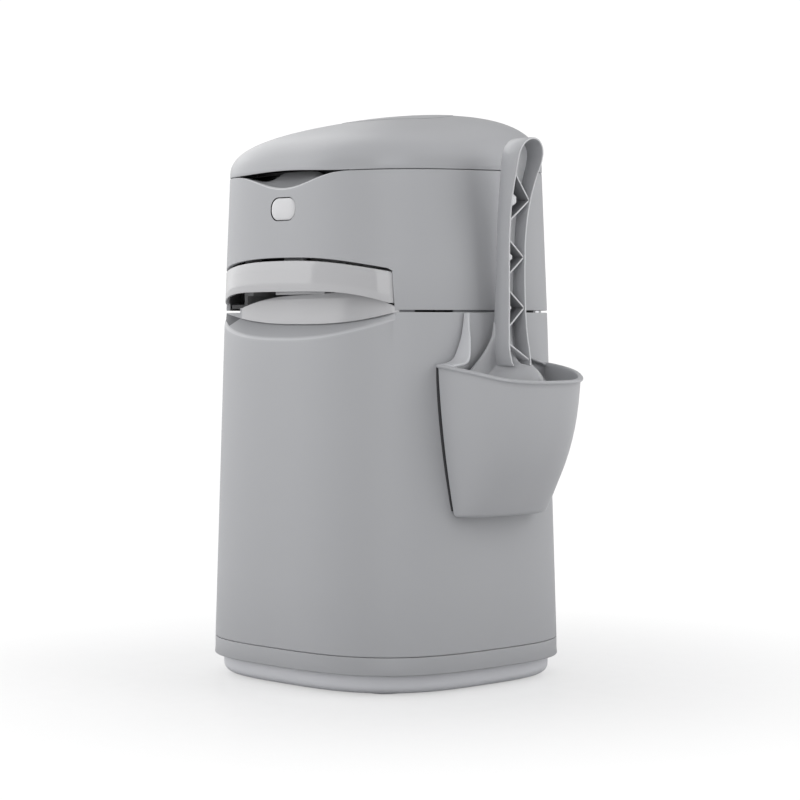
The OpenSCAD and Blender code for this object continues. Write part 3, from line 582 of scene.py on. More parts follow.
def build_pail():
    columns = body_columns(mirrored(89.0, 90.5, 91.5, 92.2, 92.7, 93.0))

    def pick(i, j):
        here, after = columns[i][1], columns[(i + 1) % len(columns)][1]
        # the rolled edge at the pail's top and under the recess takes a painted highlight
        if j in PAIL_ROLL_FACES:
            return LIP_PAINTED_HIGHLIGHT
        on_front = here is not None and after is not None
        if (j in PAIL_LEDGE_FACES and on_front
                and max(abs(here), abs(after)) <= RECESS_EDGE):
            # painted shadow at the ledge's -X end, painted light on the rest of the ledge
            return PAINTED_SHADE if here < -74 else LEDGE_PAINTED_LIGHT
        return BODY

    pail = ring("pail_body", [pail_profile(angle, x) for angle, x in columns],
                [BODY, LEDGE_PAINTED_LIGHT, LIP_PAINTED_HIGHLIGHT, BRIGHT_LIP_PAINTED_HIGHLIGHT, PAINTED_SHADE], pick)
    register(pail, "pail", replaces="pail_shell")


def build_seam_lips():
    """Two strips of painted shade standing in the seam, which make it a shallow grey groove
    there.
    """
    low, high = PAIL_TOP - 0.2, HEAD_BOTTOM - 0.1
    for start, end in ((-42, -34), (-18.5, 3.0)):
        sections = []
        for degrees in steps(start, end, 24):
            sections.append([(*outline(SEAM, inset, math.radians(degrees)), z)
                             for inset, z in ((1.0, low), (1.0, high), (2.4, high), (2.4, low))])
        register(stack("seam_lip", sections, [PAINTED_SHADE]), "pail")


def rounding(inset, z, radius, count):
    """Quarter round as (inset, z), from below at inset + radius up to the side at inset."""
    return [(inset + radius * (1 - math.sin(t)), z + radius * (1 - math.cos(t)))
            for t in steps(0, math.pi / 2, count)]


def build_base():
    # (height the outline is taken at, inset, z)
    band = [(16, 5.3, 14.8)] + [(16, inset, z) for inset, z in rounding(0, 14.8, 0.9, 4)]
    band += [(28, 0, 20), (28, 0, 27.4), (28, 0.12, 27.7), (28, 0.5, 27.8), (28, 2.8, 27.8),
             (20, 2.8, 17.4), (17, 5.3, 17.4)]
    profiles = [[(*outline(plan_z, inset, angle), z) for plan_z, inset, z in band]
                for angle, _ in body_columns()]
    register(ring("base_band", profiles, [BASE]), "pail", replaces="base_ring")

    # (inset, z) from the underside, up the outside and down the inside
    dish = [(13.5, 0.8)] + rounding(6.15, 0.8, 6.5, 8)
    dish += [(6.0, 12), (6.0, 22.6), (6.3, 23), (8.1, 23), (8.4, 22.6), (8.6, 9), (9.6, 6.4),
             (13, 4.8)]
    columns = body_columns(count=200)
    sections = [[(*outline(20, inset, angle), z) for angle, _ in columns] for inset, z in dish]
    register(stack("base_dish", sections, [PAN]), "pail", replaces="base_pan")


# ------------------------------------------------------------------ head
HEAD_COLUMNS = (
    mirrored(88.6, 89.3, 90.0, 90.6, 91.1, 91.4, 91.7, 92.0, 92.3, 92.6, 92.9)
    + mirrored(30, 33, 35, 36, 37, 38, 45, 50, 55, 60, 63) + [0])
NOTCH_STEPS = 6
NOTCH_CENTRE = 4.5      # x of the middle of the notch's bowl
# faces counted along the profile: 13 points lead up to the notch
NOTCH_START = 13
EDGE_FACES = range(8, 11)
BOWL_FACES = range(NOTCH_START - 1, NOTCH_START + NOTCH_STEPS - 1)
TROUGH_FACES = range(NOTCH_START + NOTCH_STEPS - 1, NOTCH_START + NOTCH_STEPS + 5)

# push button in the head's front
BUTTON_WIDTH = 26.4
BUTTON_HEIGHT = 16.5
BUTTON_RADIUS = 7.6
BUTTON_Z = 348.8
BUTTON_CLEARANCE = 0.95


def opening_z(x):
    """Lower edge of the head's front, over the handle."""
    reach = abs(x)
    if reach <= 91.4:
        ease = smoothstep((reach - 88.6) / 2.8)
        return handle_top(min(reach, HANDLE_EDGE)) + 2.3 - 1.5 * ease ** 1.5
    top = handle_top(HANDLE_EDGE) + 0.8
    return top + (HEAD_BOTTOM - top) * min(1, (reach - 91.4) / 1.2)


def head_profile(angle, front_x):
    """Closed section of the head's wall at one angle, with the finger notch in its top."""
    def at(z, inset):
        return (*outline(z, inset, angle), z)

    over_handle = front_x is not None and abs(front_x) < 92.7
    bottom = opening_z(front_x) if over_handle else HEAD_BOTTOM
    x, y = outline(LID_Z, 0, angle)
    drop = notch(x, y)
    top = lid_seam_z(y) - 0.42 - drop
    inner_top = lid_seam_z(y) - 1.3
    share = drop / NOTCH_DEPTH
    roll = 0.7 + 1.9 * share
    roll_inset = roll * 0.9
    roll_top = top + 0.1 * share
    steep = smoothstep(share * 3)

    points = [at(bottom, WALL), at(bottom, 0.45), at(bottom + 0.13, 0.13), at(bottom + 0.45, 0)]
    points += [at(bottom + (top - roll - bottom - 0.45) * q, 0) for q in (0.3, 0.6, 0.85)]
    points += [at(z, inset)
               for inset, z in bezier((0, top - roll), (0, top), (roll_inset, roll_top), 5)]
    shares = [i / NOTCH_STEPS for i in range(1, NOTCH_STEPS + 1)]
    if drop > 0.02:
        from_centre = x - NOTCH_CENTRE
        width = 1.0 + 12.0 * math.sqrt(max(0.0, 1 - (from_centre / 43.0) ** 2))
        rise = 12.2 * share * smoothstep((40 - abs(from_centre)) / 20)
        trough = 15.0 * steep
        floor = min(inner_top - 0.3, top - trough + 2)
        points += [at(roll_top + rise * q ** 1.15, roll_inset + width * q) for q in shares]
        points += [at(top - trough * 0.5, roll_inset + width + 0.3),
                   at(floor, roll_inset + width + 0.5), at(floor, 16.4), at(inner_top, 16.6)]
        upper_inset, lower_inset = 17.0, 17.0
    else:
        points += [at(top + (inner_top - top) * q, roll_inset + 9 * q) for q in shares]
        points += [at(inner_top, inset) for inset in (11, 12.5, 14, 15.4)]
        upper_inset, lower_inset = 15.4, 12
    points += [at(inner_top - 2.2, upper_inset),
               at(min(inner_top - 2.2, top - 17 * steep - 2.2), lower_inset),
               at(top - 17 * steep - 2.6, WALL + 1),
               at(bottom + (top - 22 - bottom) * 0.55, WALL)]
    return points


def rounded_rect(width, height, radius, count=10):
    """Outline (x, z) with count + 1 points on each corner."""
    across, up = width / 2 - radius, height / 2 - radius
    points = []
    for x, z, start in ((across, up, 0), (-across, up, 90), (-across, -up, 180),
                        (across, -up, 270)):
        for degrees in steps(start, start + 90, count):
            angle = math.radians(degrees)
            points.append((x + radius * math.cos(angle), z + radius * math.sin(angle)))
    return points


def set_wall_normals(obj):
    """True normals on the outer wall, so the button's opening leaves no shading marks."""
    mesh = obj.data
    set_sharp(mesh, 38)
    normals = [tuple(v.vector) for v in mesh.corner_normals]
    for face in mesh.polygons:
        if abs(face.normal.z) > 0.12:
            continue
        for loop in face.loop_indices:
            v = mesh.vertices[mesh.loops[loop].vertex_index].co * 1000
            a, b = half_width(v.z), half_depth(v.z)
            level = (abs(v.x) / a) ** SQUARENESS + (abs(v.y) / b) ** SQUARENESS
            wall_top = lid_seam_z(v.y) - 2.2 - notch(v.x, v.y) * 1.15
            if abs(level - 1) > 0.004 or v.z > wall_top or v.z < 275.3:
                continue
            normal = Vector((math.copysign(abs(v.x / a) ** (SQUARENESS - 1) / a, v.x),
                             math.copysign(abs(v.y / b) ** (SQUARENESS - 1) / b, v.y), 0))
            normal.normalize()
            normal.z = HEAD_TAPER
            normal.normalize()
            if normal.dot(face.normal) > 0.93:
                normals[loop] = tuple(normal)
    mesh.normals_split_custom_set(normals)


def build_head():
    columns = body_columns(HEAD_COLUMNS)

    def pick(i, j):
        x, y = outline(LID_Z, 0, columns[i][0])
        if y >= 0 or abs(x) >= 61:
            return BODY
        # painted highlight along the notch's lip
        if j in EDGE_FACES and abs(x) < 50:
            return BRIGHT_LIP_PAINTED_HIGHLIGHT
        # painted shadow in the trough behind the notch
        if j in TROUGH_FACES:
            return PAINTED_SHADOW
        # painted shade in the notch's bowl
        if j in BOWL_FACES and abs(x - NOTCH_CENTRE) < 42:
            return NOTCH_PAINTED_SHADE
        return BODY

    head = ring("head_body", [head_profile(angle, x) for angle, x in columns],
                [BODY, PAINTED_SHADOW, NOTCH_PAINTED_SHADE, BRIGHT_LIP_PAINTED_HIGHLIGHT], pick)

    hole = rounded_rect(BUTTON_WIDTH + BUTTON_CLEARANCE, BUTTON_HEIGHT + BUTTON_CLEARANCE,
                        BUTTON_RADIUS + 0.4)
    cutter = stack("cutter", [[(x, y, BUTTON_Z + z) for x, z in hole] for y in (-115, -95)],
                   [BODY, PAINTED_SHADOW])
    # the button opening's walls take the painted shadow
    paint(cutter, lambda centre, normal: 1)
    boolean = head.modifiers.new("hole", "BOOLEAN")
    boolean.operation = "DIFFERENCE"
    boolean.solver = "EXACT"
    boolean.object = cutter
    bake(head)
    bpy.data.objects.remove(cutter)
    set_wall_normals(head)
    register(head, "head", replaces="head_shell")


def build_button():
    sections = []
    # (shrink of the outline, y behind the head's face)
    for shrink, behind in ((0.0, 7.0), (0.0, 1.2), (0.25, 0.35), (0.8, 0.05), (2.2, -0.12),
                           (4.0, -0.26), (6.0, -0.38)):
        radius = min(max(1.5, BUTTON_RADIUS - shrink), BUTTON_HEIGHT / 2 - shrink - 0.1)
        loop = rounded_rect(BUTTON_WIDTH - 2 * shrink, BUTTON_HEIGHT - 2 * shrink, radius)
        sections.append([(x, front_y(BUTTON_Z + z, 0, x) + behind, BUTTON_Z + z)
                         for x, z in loop])
    face = stack("push_button", sections, [BUTTON], sharp=50)
    sections = [[(r * math.cos(t), y, BUTTON_Z + r * math.sin(t)) for t in full_turn(32)]
                for r, y in ((3.0, -98.0), (3.0, -92.0), (2.6, -91.5))]
    stem = stack("push_button_stem", sections, [BUTTON])
    button = join("release_push_button", [face, stem], 50)
    register(button, "button", replaces="release_button")


# ------------------------------------------------------------------ recess behind the handle
RECESS_LEFT = -69       # x of the wall's -X end, where it curls inward
RECESS_RIGHT = 94
# top edge of the wall: x stations, z
recess_top = smooth_curve(
    [RECESS_LEFT, -60, -53, -45, -37, -25, -8, 10, 25, 40, 55, 70, 80, 84, 87, 90, RECESS_RIGHT],
    [276.8, 279.2, 280.7, 282.2, 283.3, 284.7, 285.7, 286.2, 286.9, 287.6, 287.3, 285.5,
     283.0, 281.5, 279.9, 278.5, 276.0])


def build_recess():
    sections = []
    for x in steps(RECESS_LEFT, RECESS_RIGHT, 60):
        y, top = max(recess_y(x), front_y(280, 0.5, x)), recess_top(x)
        bottom = ledge_z(x) + 0.35
        sections.append([(x, y + inward, z) for inward, z in (
            (0, bottom), (1.9, bottom), (1.9, top - 0.2), (1.6, top), (0.5, top),
            (0.15, top - 0.15), (0, top - 0.6))])
    wall = stack("recess_wall", sections, [TRIM])

    radius, thickness = 6.0, 1.8
    sections = []
    for t in steps(0, math.pi / 2, 12):
        c, s = math.cos(t), math.sin(t)
        x, y = RECESS_LEFT - radius * s, recess_y(RECESS_LEFT) + radius * (1 - c)
        inner_x, inner_y = x + thickness * s, y + thickness * c
        bottom, top = ledge_z(x) + 0.4, 276.7 - 0.6 * s
        sections.append([(x, y, bottom), (x, y, top), (inner_x, inner_y, top),
                         (inner_x, inner_y, bottom)])
    # the wall's curled return takes the ledge's painted-light grey
    wall = join("recess_wall", [wall, stack("wall_return", sections, [LEDGE_PAINTED_LIGHT])])
    register(wall, "head", replaces="grip_recess")

    # upright rib behind the gap over the handle
    rib = stack("gap_rib", [[(x, y, z) for x, z in ((-11, 306), (11, 306), (11, 316.5),
                                                    (-11, 316.5))]
                            for y in (-93.4, -90.4)], [BODY])
    add_bevel(rib, 0.0004)
    bake(rib)
    register(rib, "head")


# ------------------------------------------------------------------ handle
HANDLE_HALF = 90.5
HANDLE_THICKNESS = 2.9
HANDLE_ROUND = 0.55


def handle_section(x):
    """Closed section of the band across its height and thickness."""
    end = 1 - min(1.0, HANDLE_HALF - abs(x))
    full = math.sqrt(max(0.0, 1 - end ** 2))
    top = handle_top(x) - 1.1 * (1 - full)
    bottom = handle_bottom(x) + 0.6 * (1 - full)
    middle = (top + bottom) / 2
    back = max(front_y(middle, 0, x) + HANDLE_THICKNESS,
               front_y(middle, HANDLE_THICKNESS, min(abs(x), half_width(297) - 3.2)))

    def slanted(z):
        return x * (1 + 0.0122 * (1 - (z - bottom) / (top - bottom)))

    # (z, y behind the head's face) up the front
    front = [(bottom, 1.1), (bottom, HANDLE_ROUND), (bottom + 0.16, 0.16),
             (bottom + HANDLE_ROUND, 0.0), (top * 0.35 + bottom * 0.65, 0.0),
             (top * 0.65 + bottom * 0.35, 0.0), (top - HANDLE_ROUND, 0.0), (top - 0.16, 0.16),
             (top, HANDLE_ROUND), (top, 1.1)]
    points = [(slanted(z), front_y(z, 0, slanted(z)) + behind, z) for z, behind in front]
    return points + [(slanted(top), back - 0.4, top), (slanted(top), back, top - 0.4),
                     (slanted(bottom), back, bottom + 0.4), (slanted(bottom), back - 0.4, bottom)]


def build_handle():
    sections = [handle_section(x) for x in steps(-HANDLE_HALF, HANDLE_HALF, 90)]
    # the band, then the web and tongue that join it to the gate
    parts = [stack("handle_band", sections, [TRIM], sharp=45),
             slab((-27, 27), (-88.0, -80.0), (286.3, 289.9), TRIM),
             slab((-27, 27), (-104.0, -86.0), (288.6, 291.5), TRIM),
             slab((-58, 58), (-82, -63), (288.8, 289.9), TRIM)]
    for x, y in ((-50, -101.5), (-18, -104), (18, -104), (50, -101.5)):
        parts.append(slab((x - 1.2, x + 1.2), (y, -82), (288.6, 298.0), TRIM))
    register(join("pull_grip", parts, 45), "gate", replaces="pull_handle")


# ------------------------------------------------------------------ lid
def build_lid():
    columns = body_columns([-52, -45, 45, 52])

    def edge_points(inset):
        return [outline(LID_Z, inset, angle) for angle, _ in columns]

    def dome_ring(scale, inset):
        section = []
        for x, y in edge_points(inset):
            lift = lid_arch(x, y) if scale == 1.0 else 0.0
            section.append((x * scale, y * scale, dome_z(x * scale, y * scale, inset) + lift))
        return section

    scales = [math.sin(t) for t in steps(0, math.pi / 2, 44)]
    sections = [dome_ring(scale, 0.0) for scale in scales if scale > 0.03]
    # (inset, z from the lid's edge) across the underside of the edge
    for inset, dz in ((0.12, -0.28), (0.5, -0.42), (WALL - 0.2, -0.42), (WALL, -0.2)):
        sections.append([(x, y, lid_seam_z(y) + LID_GAP + dz + lid_arch(x, y))
                         for x, y in edge_points(inset)])
    sections += [dome_ring(scale, WALL)
                 for scale in (1.0, 0.99, 0.97, 0.93, 0.86, 0.72, 0.5, 0.25)]
    lid = stack("lid_dome", sections, [LID, PAINTED_SHADOW], sharp=50)
    # painted shadow: dark underside over the notch
    paint(lid, lambda centre, normal: int(
        centre.y < 0 and abs(centre.x) < NOTCH_HALF and centre.z < 392
        and (normal.z < -0.6 or normal.y > 0.2)))
    register(lid, "lid", replaces="lid_shell")


def build_lid_panel():
    """Thin oval panel on top of the dome."""
    def oval(scale, height):
        section = []
        for t in full_turn(128):
            x, y = 46 * scale * math.cos(t), 12 + 40 * scale * math.sin(t)
            section.append((x, y, dome_z(x, y) + height))
        return section

    sections = [oval(scale, 0.05) for scale in (0.05, 0.25, 0.5, 0.75, 0.97)]
    sections += [oval(scale, height) for scale, height in
                 ((1.0, 0.08), (1.0, 0.2), (0.995, 0.31), (0.985, 0.35))]
    sections += [oval(scale, 0.35) for scale in (0.95, 0.85, 0.7, 0.5, 0.3, 0.1, 0.03)]
    panel = stack("lid_panel", sections, [LID], sharp=50)
    register(panel, "lid", replaces="lid_inlay")


# ------------------------------------------------------------------ scoop holder
HOLDER_Y = 4.5          # middle of the holder
HOLDER_HALF = 57.0      # half width along Y at the top
HOLDER_BOTTOM = 126
HOLDER_HEIGHT = 104
PLATE_TOP = 272.6
# height of the rim: x stations, z
rim_z = smooth_curve(
    [104, 114, 123, 133, 142.5, 150, 156.6, 162, 167, 173],
    [236.6, 235.5, 234.2, 232.5, 230.6, 228.7, 226.9, 225.6, 224.6, 223.8])
# how far the pocket stands out from the pail: z stations, reach
pocket_reach = smooth_curve(
    [126, 132, 138.8, 150, 161, 172.6, 184, 195, 206, 217, 228],
    [23.0, 27.7, 32.4, 39.2, 45.6, 50.8, 54.8, 57.8, 60.0, 61.6, 63.0])
# flanges from the hanger's top down to the rim: (distance from HOLDER_Y, z, height off the pail)
FRONT_FLANGE = [
    (32.1, PLATE_TOP, 4.9), (32.8, 267, 5.4), (34.0, 261, 6.8), (35.6, 255, 9.0),
    (38.2, 248.5, 11.8), (40.2, 244.5, 13.8), (42.4, 240.9, 15.4), (45.0, 238.7, 17.0),
    (48.6, 237.2, 18.0), (53.0, 236.3, 18.0), (57.0, 235.8, 18.0)]
BACK_FLANGE = [
    (30.2, PLATE_TOP, 3.2), (30.2, 265, 3.2), (30.2, 258, 3.3), (30.5, 251, 3.6),
    (31.2, 246, 4.2), (33.2, 241.6, 5.6), (37.6, 239.0, 7.6), (43.8, 237.4, 8.6),
    (50.0, 236.2, 7.0), (57.0, 235.4, 5.0)]
# pocket sections as (share of height, inset): foot, rim bead, inside floor
POCKET_FOOT = [(0.0, 4.0), (0.0, 2.2), (0.003, 1.2), (0.011, 0.35), (0.02, 0.05)]
POCKET_SIDE = [0.03, 0.06, 0.1, 0.15, 0.2, 0.27, 0.35, 0.44, 0.53, 0.62, 0.71, 0.8, 0.88, 0.94,
               0.968]
POCKET_BEAD = [(0.974, -0.5), (0.978, -1.3), (0.985, -1.75), (0.993, -1.7), (0.999, -1.2),
               (1.0, -0.5), (1.0, 0.8), (0.998, 1.6), (0.99, 2.1)]
POCKET_INSIDE = [0.96, 0.85, 0.7, 0.5, 0.3, 0.15, 0.06]
POCKET_FLOOR = [(0.035, 3.2), (0.025, 5.0)]


def pocket_half(z):
    """Half width of the pocket along Y."""
    return HOLDER_HALF - 11.5 * max(0.0, (236 - z) / 110) ** 1.8


def pocket_section(share, inset, front_count=56, back_count=20):
    """Closed section at a share of the height: outer curve, then back along the pail."""
    level = HOLDER_BOTTOM + HOLDER_HEIGHT * share
    reach, half = pocket_reach(min(level, 228)) - inset, pocket_half(level) - inset
    root = half_width(level) - 3.9
    clearance = max(0, inset)
    plan = []
    for t in steps(-math.pi / 2, math.pi / 2, front_count - 1):
        c, s = max(0.0, math.cos(t)), math.sin(t)
        y = HOLDER_Y + half * math.copysign(abs(s) ** (2 / 2.55), s)
        x = root + max(0.0, reach * c ** (2 / 2.55))
        plan.append((max(x, side_x(level, -1.4 - clearance, y)), y))
    for i in range(1, back_count + 1):
        y = HOLDER_Y + half * (1 - 2 * i / (back_count + 1))
        plan.append((side_x(level, -0.8 - clearance, y), y))
    return [(x, y, HOLDER_BOTTOM + share * (rim_z(x) - HOLDER_BOTTOM)) for x, y in plan]


def build_flange(side, table, material, thickness=2.0):
    """Flange along one side of the hanger; side is -1 for the front, 1 for the back."""
    lengths = [0]
    for (w0, z0, _), (w1, z1, _) in zip(table, table[1:]):
        lengths.append(lengths[-1] + math.hypot(w1 - w0, z1 - z0))
    total = lengths[-1]
    width_at, z_at, height_at = (smooth_curve(lengths, [row[k] for row in table])
                                 for k in range(3))
    sections = []
    for s in steps(0, total, 36):
        width, z, height = width_at(s), z_at(s), height_at(s)
        before, after = max(0, s - 0.5), min(s + 0.5, total)
        along_width, along_z = width_at(after) - width_at(before), z_at(after) - z_at(before)
        length = math.hypot(along_width, along_z)
        # the normal points to the holder's middle and down
        normal_width, normal_z = along_z / length, -along_width / length
        section = []
        for depth, out in ((0.0, 0.8), (0.0, height - 0.7), (0.2, height - 0.2), (0.7, height),
                           (thickness - 0.7, height), (thickness - 0.2, height - 0.2),
                           (thickness, height - 0.7), (thickness, 0.8)):
            point_z = z + normal_z * depth
            y = HOLDER_Y + side * (width + normal_width * depth)
            section.append((side_x(point_z, 0, y) + out, y, point_z))
        sections.append(section if side > 0 else section[::-1])
    return stack("flange", sections, [material], sharp=50)


def build_hanger_plate():
    """Thin plate up the pail between the flanges."""
    front_half, back_half = (
        smooth_curve([row[1] for row in table[::-1]], [row[0] for row in table[::-1]])
        for table in (FRONT_FLANGE, BACK_FLANGE))
    sections = []
    for i in range(29):
        z = PLATE_TOP - i * 1.5
        front, back = (front_half(z), back_half(z)) if z > 236.6 else (56.5, 56.5)
        front, back = front - 1.0, back - 1.0
        sections.append(
            [(side_x(z, -0.8, HOLDER_Y + y), HOLDER_Y + y, z) for y in steps(back, -front, 30)]
            + [(side_x(z, -2.9, HOLDER_Y + y), HOLDER_Y + y, z)
               for y in steps(-front, back, 30)])
    return stack("plate", sections, [HOLDER], sharp=50)


def build_painted_shadow_edge():
    """Painted shadow: dark strip between the pail and the pocket's front edge."""
    sections = []
    for i, z in enumerate(steps(130.5, 233.5, 40)):
        edge = HOLDER_Y - pocket_half(z)
        y0, y1 = edge - 0.95 * math.sin(math.pi * (i + 1) / 42) ** 0.25, edge + 2.0
        sections.append([(side_x(z, inset, y), y, z)
                         for inset, y in ((-0.12, y0), (-0.7, y0), (-0.9, y1), (-0.12, y1))])
    return stack("painted_shadow_strip", sections, [DARK_PLASTIC_AND_PAINTED_SHADOW], sharp=50)


def build_holder():
    rings = POCKET_FOOT + [(share, 0) for share in POCKET_SIDE] + POCKET_BEAD
    rings += [(share, 2.2) for share in POCKET_INSIDE] + POCKET_FLOOR
    parts = [stack("pocket", [pocket_section(share, inset) for share, inset in rings],
                   [HOLDER], sharp=50),
             # the front flange in the painted-light grey
             build_flange(-1, FRONT_FLANGE, HOLDER_FLANGE_PAINTED_LIGHT),
             build_flange(1, BACK_FLANGE, HOLDER),
             build_hanger_plate(),
             build_painted_shadow_edge()]
    for i in range(-2, 3):
        y = HOLDER_Y + 14 * i
        parts.append(slab((120, 131), (y - 0.9, y + 0.9), (128, 133.7), HOLDER, bevel=0.0005))
    holder = join("hanging_pocket", parts, 50)
    register(holder, "holder", replaces="scoop_holder")


# ------------------------------------------------------------------ scoop handle
SCOOP_Y = 4.9           # middle of the scoop
STRIP = 1.6             # thickness of the channel's walls
LOOP_Z = 385.0          # where the rounded end starts
LOOP_HALF = 13.2
LOOP_HEIGHT = 14.2
# the channel up the handle: z stations, x next to the pail, x away from it, half width along Y
CHANNEL_Z = [238, 246, 256, 266, 280, 300, 320, 340, 356, 370, 382, 400]
channel_back = smooth_curve(CHANNEL_Z, [118.4, 117.8, 117.5, 117.9, 118.4, 119.4, 120.1, 121.3,
                                        123.5, 126.0, 128.5, 131.0])
channel_face = smooth_curve(CHANNEL_Z, [136.6, 135, 133.8, 133.2, 132.8, 132.5, 132.7, 134.2,
                                        137.0, 141.0, 145.2, 149.2])
channel_half = smooth_curve([232] + CHANNEL_Z, [8.6, 10.9, 11.2, 10.4, 9.8, 9.2, 9.0, 9.1, 9.7,
                                                10.7, 11.8, 13.2, 13.7])
# pairs of slanted ribs in the channel: z of the upper end, the meeting point and the lower end
RIB_PAIRS = ((373.3, 354.3, 339.0), (326.2, 313.0, 300.0), (289.4, 276.3, 262.0))
# (width, half height) of the fillet at each meeting point
NUBS = ((4.0, 4.5), (2.4, 2.5), (1.4, 1.5))


def build_channel_wall(loop_half):
    """Wall up one side of the channel, round the end and down the other."""
    rise = [(-(channel_half(z) if z < LOOP_Z else LOOP_HALF), z)
            for z in steps(234.5, LOOP_Z, 55)]
    path = rise + [(-loop_half * math.cos(t), LOOP_Z + LOOP_HEIGHT * math.sin(t))
                   for t in steps(0, math.pi, 28)[1:-1]]
    path += [(-y, z) for y, z in rise[::-1]]
    sections = []
    for i, (y, z) in enumerate(path):
        y0, z0 = path[max(0, i - 1)]
        y1, z1 = path[min(len(path) - 1, i + 1)]
        length = math.hypot(y1 - y0, z1 - z0)
        inward_y, inward_z = (z1 - z0) / length, -(y1 - y0) / length
        back, face = channel_back(z), channel_face(z)
        middle = (back + face) / 2
        sections.append([(x, SCOOP_Y + y + inward_y * depth, z + inward_z * depth)
                         for depth, x in (
            (0.0, back + 0.5), (0.0, middle), (0.0, face - 0.8), (0.25, face - 0.22),
            (0.8, face), (STRIP - 0.7, face), (STRIP - 0.2, face - 0.2), (STRIP, face - 0.8),
            (STRIP, middle), (STRIP, back + 0.4), (STRIP - 0.4, back), (0.5, back))])
    wall = stack("strip", sections, [SCOOP, SCOOP_EDGE_PAINTED_HIGHLIGHT, SCOOP_SIDE_PAINTED_SHADE], sharp=50)

    # painted highlight on the wall's front edge; painted shade on its face towards the front and
    # under the rounded end
    def slot(centre, normal):
        if normal.x > 0.5 and centre.x > channel_face(centre.z) - 0.6:
            return 1
        facing_front = normal.y < -0.3 and centre.y > SCOOP_Y
        under_end = normal.z < -0.3 and centre.z > LOOP_Z - 2
        return 2 if facing_front or under_end else 0

    paint(wall, slot)
    return wall


def build_channel_web(loop_half):
    """Web along the channel's side next to the pail, in a lighter grey that is painted light."""
    sections = []
    for z in steps(236, LOOP_Z + LOOP_HEIGHT - 1.0, 59):
        if z < LOOP_Z:
            half = channel_half(z)
        else:
            half = loop_half * math.sqrt(max(0.0, 1 - ((z - LOOP_Z) / LOOP_HEIGHT) ** 2))
        half = max(0.4, half - 0.5)
        x = channel_back(z) + 0.3
        sections.append([(x, SCOOP_Y - half, z), (x + 1.8, SCOOP_Y - half, z),
                         (x + 1.8, SCOOP_Y + half, z), (x, SCOOP_Y + half, z)])
    return stack("web", sections, [SCOOP_WEB_PAINTED_LIGHT], sharp=50)


def build_rib(start_z, end_z, side, dark=0, thickness=1.3, sunk=1.2):
    """Slanted rib from wall to wall, from y side to -side; dark is the z way of its dark face,
    which is painted shade, and its front edge is a painted highlight.
    """
    ends = [(SCOOP_Y + way * (channel_half(z) - STRIP * 0.6), z)
            for way, z in ((side, start_z), (-side, end_z))]
    (y0, z0), (y1, z1) = ends
    length = math.hypot(y1 - y0, z1 - z0)
    ny, nz = -(z1 - z0) / length * thickness / 2, (y1 - y0) / length * thickness / 2
    sections = []
    for y, z in ends:
        back, face = channel_back(z) + 1.2, channel_face(z) - sunk
        sections.append([(x, y + ny * share, z + nz * share) for x, share in (
            (back, 1), (face - 0.3, 1), (face, 0.5), (face, -0.5), (face - 0.3, -1),
            (back, -1))])
    rib = stack("truss", sections, [SCOOP, SCOOP_EDGE_PAINTED_HIGHLIGHT, SCOOP_PAINTED_SHADE], sharp=45)

    def slot(centre, normal):
        if normal.x > 0.35:
            return 1
        return 2 if normal.z * dark > 0.2 else 0

    paint(rib, slot)
    return rib


def build_shaded_web(upper, middle, lower):
    """Painted shade: dark skin on the web, between two ribs that meet."""
    sections = []
    for z in steps(lower + 0.3, upper - 0.3, 24):
        if z < middle:
            share = (z - lower) / (middle - lower)
        else:
            share = (upper - z) / (upper - middle)
        half = channel_half(z) - STRIP * 0.7
        x = channel_back(z) + 2.12
        y0 = SCOOP_Y - half
        y1 = SCOOP_Y + max(-half + 2 * half * min(1.0, share), 0.1 - half)
        sections.append([(x, y0, z), (x + 0.2, y0, z), (x + 0.2, y1, z), (x, y1, z)])
    return stack("painted_shade_web", sections, [SCOOP_PAINTED_SHADE], sharp=50)


def build_nub(z, width, half):
    """Small fillet on the channel's front wall, in the painted highlight grey."""
    y, face = SCOOP_Y - channel_half(z) + STRIP * 0.8, channel_face(z) - 0.4
    sections = [[(x, y, z - half), (x, y + width, z - half * 0.45),
                 (x, y + width, z + half * 0.45), (x, y, z + half)] for x in (face - 1.2, face)]
    return stack("nub", sections, [SCOOP_EDGE_PAINTED_HIGHLIGHT])


# ------------------------------------------------------------------ scoop bowl
BOWL_BOTTOM = 134
BOWL_TOP = 266
BOWL_X = 118.2          # face next to the pail
BOWL_HALF = 46.5        # half width along Y that the slots are laid out on
BOWL_WALL = 2.0
SLOT_PITCH = 8.6
SLOT_HALF = 2.1
SLOT_INNER = 1.1        # half width of a slot's longer middle part
SLOT_REACH = 4          # slots on each side of the middle one
# half width along Y: z stations, half width
bowl_half = smooth_curve([134, 150, 170, 195, 212, 220, 226, 232.5, 241, 249, 256.8, 266],
                         [36, 40.5, 44, 46.5, 46.6, 45, 42, 33.5, 23.5, 16.2, 11.7, 9.9])
# full bulge along X: z stations, depth
bowl_depth = smooth_curve(
    [134, 142, 150, 160, 172, 185, 200, 214, 224, 230, 236, 242, 248, 256, 266],
    [9, 16, 22, 28, 34, 38.5, 40, 37.5, 31, 24.5, 17, 10, 5.4, 2.8, 2.2])
# ridge that runs from the bowl into the handle: z stations, half width, depth
RIDGE_Z = [214, 218, 222, 226, 229, 232, 234, 236, 242, 250, 266]
ridge_half = smooth_curve(RIDGE_Z, [46, 32, 23, 20, 17, 13, 10.5, 9, 8, 8, 8])
ridge_depth = smooth_curve(RIDGE_Z, [38, 38, 36.5, 34.5, 32.5, 29.5, 26, 14, 8, 5, 2])


